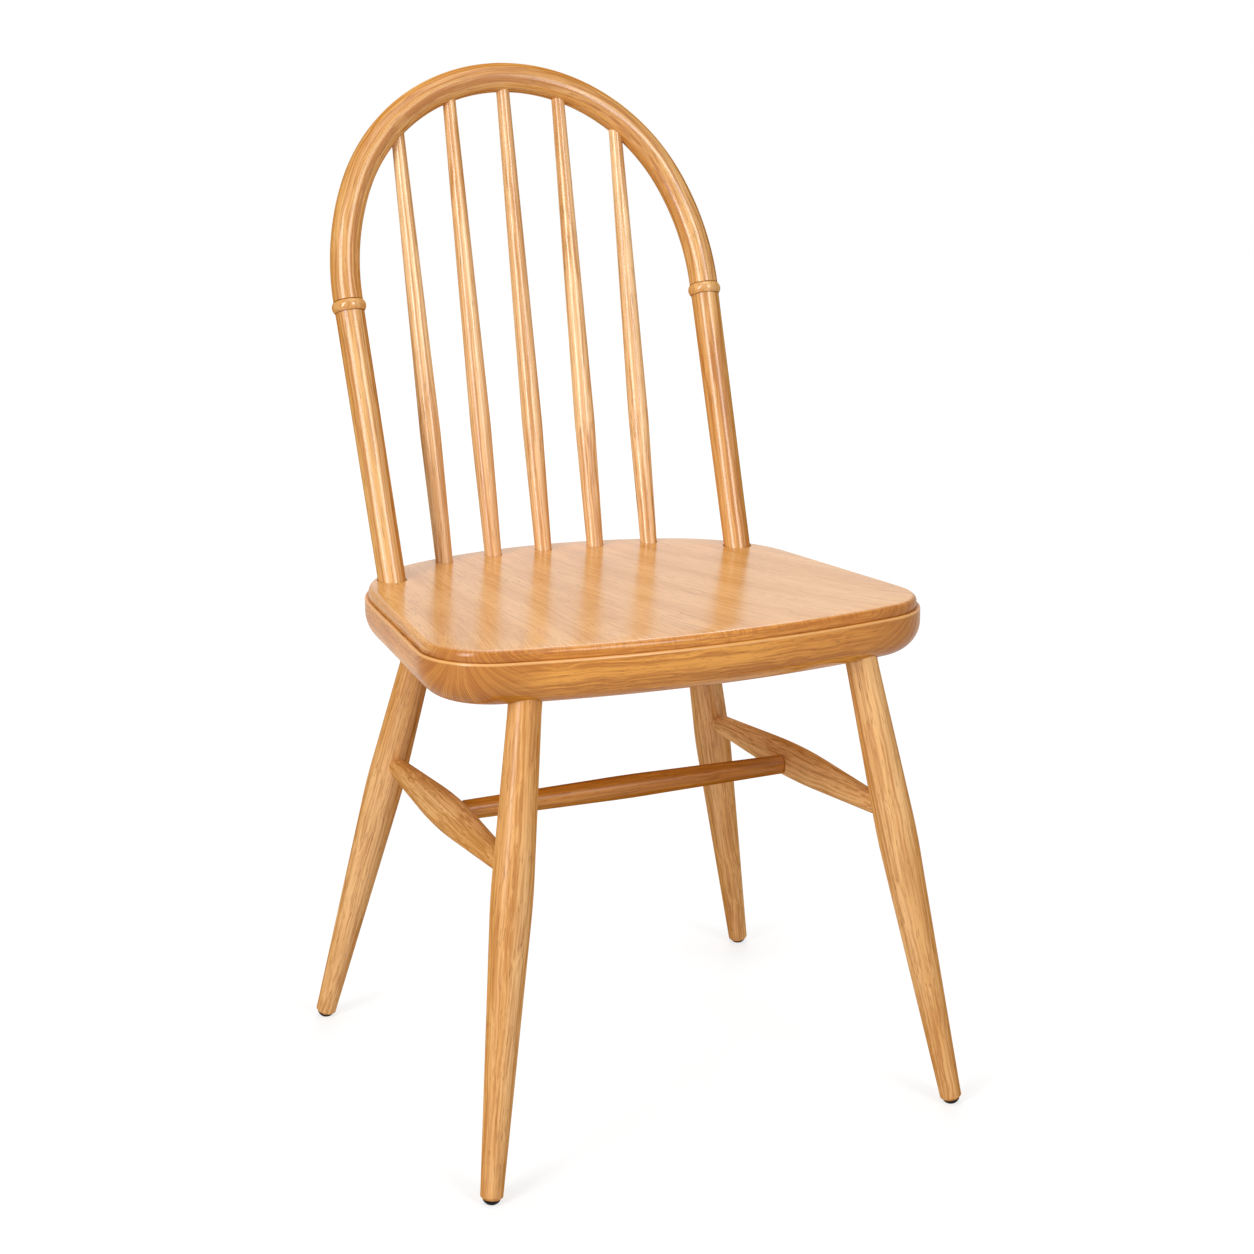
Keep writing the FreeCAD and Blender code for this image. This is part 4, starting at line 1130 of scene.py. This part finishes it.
@dataclass
class Seat:
    """The solid plank: a raised field, a narrow ledge round it and a deep rounded belly."""

    top: float = 0.445
    thickness: float = 0.049
    step: float = 0.0095
    ledge: float = 0.0035
    front: float = 0.2140
    back: float = 0.1795
    side: float = 0.2115
    side_angle: float = math.radians(6.0)
    front_radius: float = 0.820
    corner_radius: float = 0.060
    hip_radius: float = 0.130
    back_radius: float = 0.330
    top_round: float = 0.005
    lip_round: float = 0.002
    belly_round: float = 0.027
    clearance: float = 0.00045
    leg_tenon: float = 0.0139
    leg_bore: Pair = (-0.02, 0.031)
    post_tenon: float = 0.0125
    top_bore: Pair = (-0.03, 0.02)
    bore_sides: int = 48
    middle: Pair = (0.0, -0.020)
    grain_lean: float = 0.17
    grain_fan: float = 1.4
    sharp_edge: float = 32.0
    flat_run: float = 0.2
    shrink: Tuple[float, ...] = (0.25, 0.5, 0.75, 0.9)
    front_steps: int = 60
    corner_steps: int = 40
    side_steps: int = 24
    hip_steps: int = 48
    back_steps: int = 40
    top_steps: int = 8
    lip_steps: int = 5
    belly_steps: int = 16
    look: EdgeLook = EdgeLook()

    @property
    def square(self) -> Vector:
        """The direction square to the seat's right-hand side."""
        return Vector((math.cos(self.side_angle), math.sin(self.side_angle)))

    def arc_centres(self) -> Dict[str, Vector]:
        """Find the outline's arcs on the right-hand side.

        Returns:
            Each arc's centre, by its name.
        """
        along = Vector((-self.square.y, self.square.x))
        centres = {
            "front": Vector((0.0, self.front_radius - self.front)),
            "back": Vector((0.0, self.back - self.back_radius)),
        }
        for name, large, small, host, way in (
            ("corner", self.front_radius, self.corner_radius, "front", -1.0),
            ("hip", self.back_radius, self.hip_radius, "back", 1.0),
        ):
            off = self.side - small - self.square.dot(centres[host])
            reach = math.sqrt((large - small) ** 2 - off ** 2)
            centres[name] = centres[host] + self.square * off + along * way * reach
        return centres

    def outline(self, margin: float) -> List[Vector]:
        """Return points round the seat, from the middle of the back past the left side.

        Args:
            margin: how far outside the raised field's edge the points lie.

        Returns:
            The points, anticlockwise from above and the same number at every margin.
        """
        centres = self.arc_centres()
        to_corner = centres["corner"] - centres["front"]
        to_hip = centres["hip"] - centres["back"]
        corner_turn, hip_turn = math.atan2(to_corner.y, to_corner.x), math.atan2(to_hip.y, to_hip.x)
        right: List[Vector] = []
        for name, radius, first, last, count in (
            ("front", self.front_radius, -math.pi / 2, corner_turn, self.front_steps),
            ("corner", self.corner_radius, corner_turn, self.side_angle, self.corner_steps),
            ("hip", self.hip_radius, self.side_angle, hip_turn, self.hip_steps),
            ("back", self.back_radius, hip_turn, math.pi / 2, self.back_steps),
        ):
            if name == "hip":
                start, end = right[-1], centres["hip"] + self.square * (self.hip_radius + margin)
                shares = [index / self.side_steps for index in range(1, self.side_steps + 1)]
                right.extend(start.lerp(end, share) for share in shares)
            for index in range(0 if not right else 1, count + 1):
                angle = first + (last - first) * index / count
                reach = Vector((math.cos(angle), math.sin(angle))) * (radius + margin)
                right.append(centres[name] + reach)
        left = [Vector((-point.x, point.y)) for point in reversed(right)]
        return left + right[1:-1]

    def section(self) -> List[Pair]:
        """Draw the edge's section.

        Returns:
            Margins and heights, from the field down to the underside.
        """
        ledge_level = self.top - self.step
        points = []
        for centre, level, radius, count in (
            (-self.top_round, self.top - self.top_round, self.top_round, self.top_steps),
            (self.ledge - self.lip_round, ledge_level - self.lip_round, self.lip_round, self.lip_steps),
        ):
            for index in range(count + 1):
                angle = math.pi / 2 * (1.0 - index / count)
                points.append((centre + radius * math.cos(angle), level + radius * math.sin(angle)))
            if radius == self.top_round:
                points.append((0.0, ledge_level))
        bottom = self.top - self.thickness
        for index in range(self.belly_steps + 1):
            angle = -math.pi / 2 * index / self.belly_steps
            across = self.ledge - self.belly_round + self.belly_round * math.cos(angle)
            points.append((across, bottom + self.belly_round + self.belly_round * math.sin(angle)))
        return points

    def levels(self) -> List[Tuple[float, List[Vector]]]:
        """Lay the section round the outline, and smaller rings inside it above and below.

        Returns:
            Each ring's length down from the field's edge and its points, from the top down.
        """
        section = self.section()
        rings = [[point.to_3d() + Vector((0, 0, z)) for point in self.outline(m)] for m, z in section]
        down = [0.0]
        for (m1, z1), (m2, z2) in zip(section, section[1:]):
            down.append(down[-1] + math.hypot(m2 - m1, z2 - z1))
        centre = Vector((*self.middle, 0.0))

        def shrunk(ring: List[Vector], share: float) -> List[Vector]:
            """Return a ring drawn in towards the middle, at its own height."""
            return [centre.lerp(point, share) + Vector((0, 0, (1 - share) * point.z)) for point in ring]

        above, below = [], []
        for share in self.shrink:
            inwards = self.flat_run * (1.0 - share)
            above.append((-inwards, shrunk(rings[0], share)))
            below.append((down[-1] + inwards, shrunk(rings[-1], share)))
        return above + list(zip(down, rings)) + below[::-1]

    def mesh(self) -> bpy.types.Mesh:
        """Join the levels, and keep how far along and down the edge each corner is.

        Returns:
            The closed mesh, with a UV map.
        """
        levels = self.levels()
        nominal = self.outline(0.0)
        count = len(nominal)
        runs = [0.0]
        for here, there in zip(nominal, nominal[1:] + nominal[:1]):
            runs.append(runs[-1] + (there - here).length)
        vertices = [point for _, ring in levels for point in ring]
        faces, places = [], []
        for level in range(len(levels) - 1):
            upper, lower = levels[level][0], levels[level + 1][0]
            first = level * count
            for index in range(count):
                after = first + (index + 1) % count
                faces.append((first + index, first + count + index, count + after, after))
                run, run_on = runs[index], runs[index + 1]
                places.append(((run, upper), (run, lower), (run_on, lower), (run_on, upper)))
        for level, way in ((0, 1), (len(levels) - 1, -1)):
            corners = [level * count + index for index in range(count)][::way]
            faces.append(tuple(corners))
            places.append(tuple((0.0, levels[level][0]) for _ in corners))
        mesh = bpy.data.meshes.new("seat_plank")
        mesh.from_pydata(vertices, [], faces)
        layer = mesh.uv_layers.new(name=BAND)
        for polygon, corners in zip(mesh.polygons, places):
            for loop, place in zip(polygon.loop_indices, corners):
                layer.data[loop].uv = place
        return mesh

    def sockets(self, axes: Mapping[str, Axis], spindles: Spindles, bow: Bow) -> bpy.types.Object:
        """Make a cutter with one cylinder for each leg, post and spindle in the seat.

        Args:
            axes: the axes of the legs and posts.
            spindles: the spindles.
            bow: the bow that they reach.

        Returns:
            The cutter.
        """
        legs = [axes[f"{row}_{side}_leg"] for row in ("front", "rear") for side in SIDES]
        bores = [(leg.end, leg, self.leg_tenon, self.leg_bore) for leg in legs]
        posts = [axes[f"{side}_back_post"] for side in SIDES]
        bores += [(post.start, post, self.post_tenon + self.clearance, self.top_bore) for post in posts]
        rods = [spindles.axis(step, bow) for step in spindles.places.values()]
        bores += [(rod.start, rod, spindles.foot, self.top_bore) for rod in rods]
        sides = self.bore_sides
        vertices, faces = [], []
        for base, axis, radius, heights in bores:
            way = (Vector(axis.end) - Vector(axis.start)).normalized()
            turn = way.to_track_quat("Z", "Y").to_matrix()
            first = len(vertices)
            for height in heights:
                for index in range(sides):
                    angle = FULL_TURN * index / sides
                    reach = (radius + self.clearance) * Vector((math.cos(angle), math.sin(angle), 0.0))
                    vertices.append(Vector(base) + way * height + turn @ reach)
            for index in range(sides):
                here, after = first + index, first + (index + 1) % sides
                faces.append((here, after, sides + after, sides + here))
            faces.append(tuple(first + index for index in reversed(range(sides))))
            faces.append(tuple(first + sides + index for index in range(sides)))
        mesh = bpy.data.meshes.new("seat_sockets")
        mesh.from_pydata(vertices, [], faces)
        return link_data("seat_sockets", mesh)

    def finish(self) -> bpy.types.Material:
        """Make the seat's wood: the plank's grain on top, and long streaks that follow its edge.

        Returns:
            The material.
        """
        material, loom = new_finish("seat_wood")
        plank = Grain(SEAT_TONES, Cut.PLANK, seed=1.0, fleck=0.4)
        top_colour, top_height = plank.paint(loom, self.plank_place(loom))
        band = loom.add("ShaderNodeUVMap", {"uv_map": BAND}, {})
        run, down = band.axis("X"), band.axis("Y")
        whole, corner = self.run_to_corner()
        place = EdgePlace(run, down, (run - whole / 2.0).do("ABSOLUTE") - corner)
        look = self.look
        long_grain = Grain(EDGE_TONES, Cut.EDGE, seed=2.0, fleck=0.5)
        edge_colour, edge_height = long_grain.paint(loom, loom.vector(down, down * look.slant, run))
        edge_colour = look.fan(loom, edge_colour, place)
        wall = down.eased(*look.wall) * place.past.eased(*look.wall_past) * look.wall_share
        edge_colour = loom.tint(wall, edge_colour, top_colour)
        on_edge = down.eased(*look.turn_down)
        colour = look.trim(loom, loom.tint(on_edge, top_colour, edge_colour), place)
        height = top_height + on_edge * (edge_height - top_height)
        Lacquer().coat_over(loom, colour, height, 1.0 - on_edge * (1.0 - look.gloss))
        return material

    def plank_place(self, loom: Loom) -> Wire:
        """Find places on the plank: its grain runs front to back and fans out to the right.

        Args:
            loom: the finish's nodes.

        Returns:
            The place, with Z along the fibres.
        """
        place = loom.object_place()
        x, y, z = (place.axis(letter) for letter in "XYZ")
        return loom.vector(x + y * (self.grain_lean + x * self.grain_fan), z, x * self.grain_lean - y)

    def run_to_corner(self) -> Pair:
        """Measure the outline.

        Returns:
            Its whole length, and the length from the front's middle to a corner.
        """
        points = self.outline(0.0)
        steps = [(b - a).length for a, b in zip(points, points[1:] + points[:1])]
        middle = min(range(len(points)), key=lambda index: points[index].y)
        corner = self.arc_centres()["corner"]
        half_way = Vector((1.0, -1.0)).normalized()
        near = max(range(middle, len(points)), key=lambda i: (points[i] - corner).dot(half_way))
        return sum(steps), sum(steps[middle:near])

    def make(self, axes: Mapping[str, Axis], spindles: Spindles, bow: Bow) -> None:
        """Make the seat with its sockets and dress it.

        Args:
            axes: the axes of the legs and posts.
            spindles: the spindles.
            bow: the bow that they reach.
        """
        mesh = self.mesh()
        mesh.materials.append(self.finish())
        plank = link_data("seat_blank", mesh)
        cutter = self.sockets(axes, spindles, bow)
        bored = plank.modifiers.new("sockets", "BOOLEAN")
        bored.operation = "DIFFERENCE"
        bored.solver = "EXACT"
        bored.object = cutter
        piece = settled(plank, "seat_shaped")
        bpy.data.objects.remove(cutter)
        smooth_mesh(piece.data, self.sharp_edge)
        finish_piece(piece, "seat")


@dataclass(frozen=True)
class Glides:
    """The moulded feet and their nails, which keep their CAD shape."""

    rows: Tuple[str, ...] = ("front", "rear")

    def make(self) -> None:
        """Dress the glides and the nails."""
        plastic = GlidePlastic().make()
        for row in self.rows:
            for side in SIDES:
                dress_node(f"{row}_{side}_glide", plastic)
        dress_node("glide_nails", NailSteel().make())


@dataclass(frozen=True)
class Lamp:
    """One soft rectangular lamp aimed at the chair."""

    name: str
    place: Triple
    size: Pair
    power: float
    aim: Triple = (0.0, 0.0, 0.50)

    def make(self) -> None:
        """Hang the lamp."""
        light = bpy.data.lights.new(self.name, "AREA")
        light.shape = "RECTANGLE"
        light.size, light.size_y = self.size
        light.energy = self.power
        holder = link_data(self.name, light)
        holder.location = self.place
        ray = Vector(self.aim) - Vector(self.place)
        holder.rotation_euler = ray.to_track_quat("-Z", "Y").to_euler()


@dataclass
class Studio:
    """White floor, plain surroundings, soft lamps and the camera."""

    azimuth: float = math.radians(-24.736)
    elevation: float = math.radians(13.823)
    roll: float = math.radians(-0.2312)
    distance: float = 2.02738
    target: Triple = (-0.00069, -0.03818, 0.41100)
    sensor: float = 36.0
    focal_pixels: float = 2292.2
    picture_width: float = 1254.0
    farthest: float = 50.0
    ambient: float = 0.26
    floor_half: float = 6.0
    shadow_share: float = 0.14
    foot_share: float = 0.35
    foot_reach: float = 0.11
    floor_bounce: Colour = (0.68, 0.67, 0.66, 1.0)
    floor_glow: float = 1.06
    shadow_reach: Pair = (0.75, 1.30)
    lamps: Tuple[Lamp, ...] = (
        Lamp("left_lamp", (-2.05, -1.05, 1.45), (0.7, 2.2), 41.0),
        Lamp("right_lamp", (0.52, -2.24, 1.75), (0.7, 1.5), 24.5),
        Lamp("top_lamp", (0.0, 0.3, 2.6), (1.8, 1.8), 18.0),
        Lamp("back_lamp", (0.9, 1.9, 2.2), (1.2, 1.0), 17.0),
    )

    @staticmethod
    def seen_plainly(loom: Loom) -> Wire:
        """Tell the rays that see the studio from those that only carry its light.

        Args:
            loom: the nodes to build in.

        Returns:
            1 for rays from the camera and those that a gloss or a clear surface sends on.
        """
        path = loom.add("ShaderNodeLightPath", {}, {}, "Is Camera Ray")
        seen = path + path.output("Is Glossy Ray") + path.output("Is Transmission Ray")
        return seen.do("MINIMUM", 1.0)

    def make_world(self) -> None:
        """Light everything evenly, and show plain white where nothing stands."""
        world = bpy.data.worlds.new("studio")
        world.use_nodes = True
        world.node_tree.nodes.clear()
        loom = Loom(world.node_tree)
        dim = loom.add("ShaderNodeBackground", {}, {"Color": WHITE, "Strength": self.ambient})
        full = loom.add("ShaderNodeBackground", {}, {"Color": WHITE, "Strength": 1.0})
        both = loom.add("ShaderNodeMixShader", {}, {0: self.seen_plainly(loom), 1: dim, 2: full})
        loom.add("ShaderNodeOutputWorld", {}, {"Surface": both})
        bpy.context.scene.world = world

    def make_floor(self, feet: Sequence[Pair]) -> None:
        """Lay a white floor that keeps the chair's shadow, faintly except close to its feet.

        Args:
            feet: where the right-hand feet stand.
        """
        material, loom = new_finish("floor_white")
        place = loom.object_place()
        reach = loom.maths("LENGTH", place).output("Value")
        side, deep = place.axis("X").do("ABSOLUTE"), place.axis("Y")
        gaps = [loom.maths("LENGTH", loom.vector(side - x, deep - y, 0.0)).output("Value") for x, y in feet]
        near = gaps[0].do("MINIMUM", gaps[1])
        close = near.eased(self.foot_reach, 0.0, self.shadow_share, self.foot_share)
        share = 1.0 - close * reach.eased(*self.shadow_reach, 1.0, 0.0)
        seen = self.seen_plainly(loom)
        lit = loom.add("ShaderNodeBsdfDiffuse", {}, {"Color": loom.tint(seen, self.floor_bounce, WHITE)})
        glow = loom.add("ShaderNodeEmission", {}, {"Color": WHITE, "Strength": self.floor_glow})
        plain = loom.add("ShaderNodeMixShader", {}, {0: seen * share, 1: lit, 2: glow})
        loom.add("ShaderNodeOutputMaterial", {}, {"Surface": plain})
        half = self.floor_half
        corners = [(-half, -half, 0.0), (half, -half, 0.0), (half, half, 0.0), (-half, half, 0.0)]
        mesh = bpy.data.meshes.new("floor")
        mesh.from_pydata(corners, [], [(0, 1, 2, 3)])
        mesh.materials.append(material)
        link_data("floor", mesh)

    def make_camera(self) -> None:
        """Set the camera where the photograph was taken from."""
        flat = math.cos(self.elevation)
        back = Vector((
            math.sin(self.azimuth) * flat,
            -math.cos(self.azimuth) * flat,
            math.sin(self.elevation),
        ))
        right = Vector((0.0, 0.0, 1.0)).cross(back).normalized()
        up = back.cross(right)
        turned_right = right * math.cos(self.roll) + up * math.sin(self.roll)
        turned_up = up * math.cos(self.roll) - right * math.sin(self.roll)
        camera = bpy.data.cameras.new("camera")
        camera.sensor_width = self.sensor
        camera.lens = self.sensor * self.focal_pixels / self.picture_width
        camera.clip_end = self.farthest
        holder = link_data("camera", camera)
        matrix = Matrix((turned_right, turned_up, back)).transposed().to_4x4()
        matrix.translation = Vector(self.target) + back * self.distance
        holder.matrix_world = matrix
        bpy.context.scene.camera = holder

    def make(self, feet: Sequence[Pair]) -> None:
        """Build the whole studio.

        Args:
            feet: where the right-hand feet stand.
        """
        bpy.context.scene.view_settings.view_transform = "Standard"
        self.make_camera()
        self.make_world()
        self.make_floor(feet)
        for lamp in self.lamps:
            lamp.make()
        LOG.info("studio: %d lamps", len(self.lamps))


def main() -> None:
    """Build, dress and light the chair."""
    logging.basicConfig(level=logging.INFO, format="%(message)s")
    bow, spindles, turned, seat = Bow(), Spindles(), TurnedFrame(), Seat()
    Studio().make((turned.front_foot, turned.rear_foot))
    turned.make(bow)
    Glides().make()
    bow.make()
    spindles.make(bow)
    seat.make(turned.axes(bow), spindles, bow)


if __name__ == "__main__":
    main()
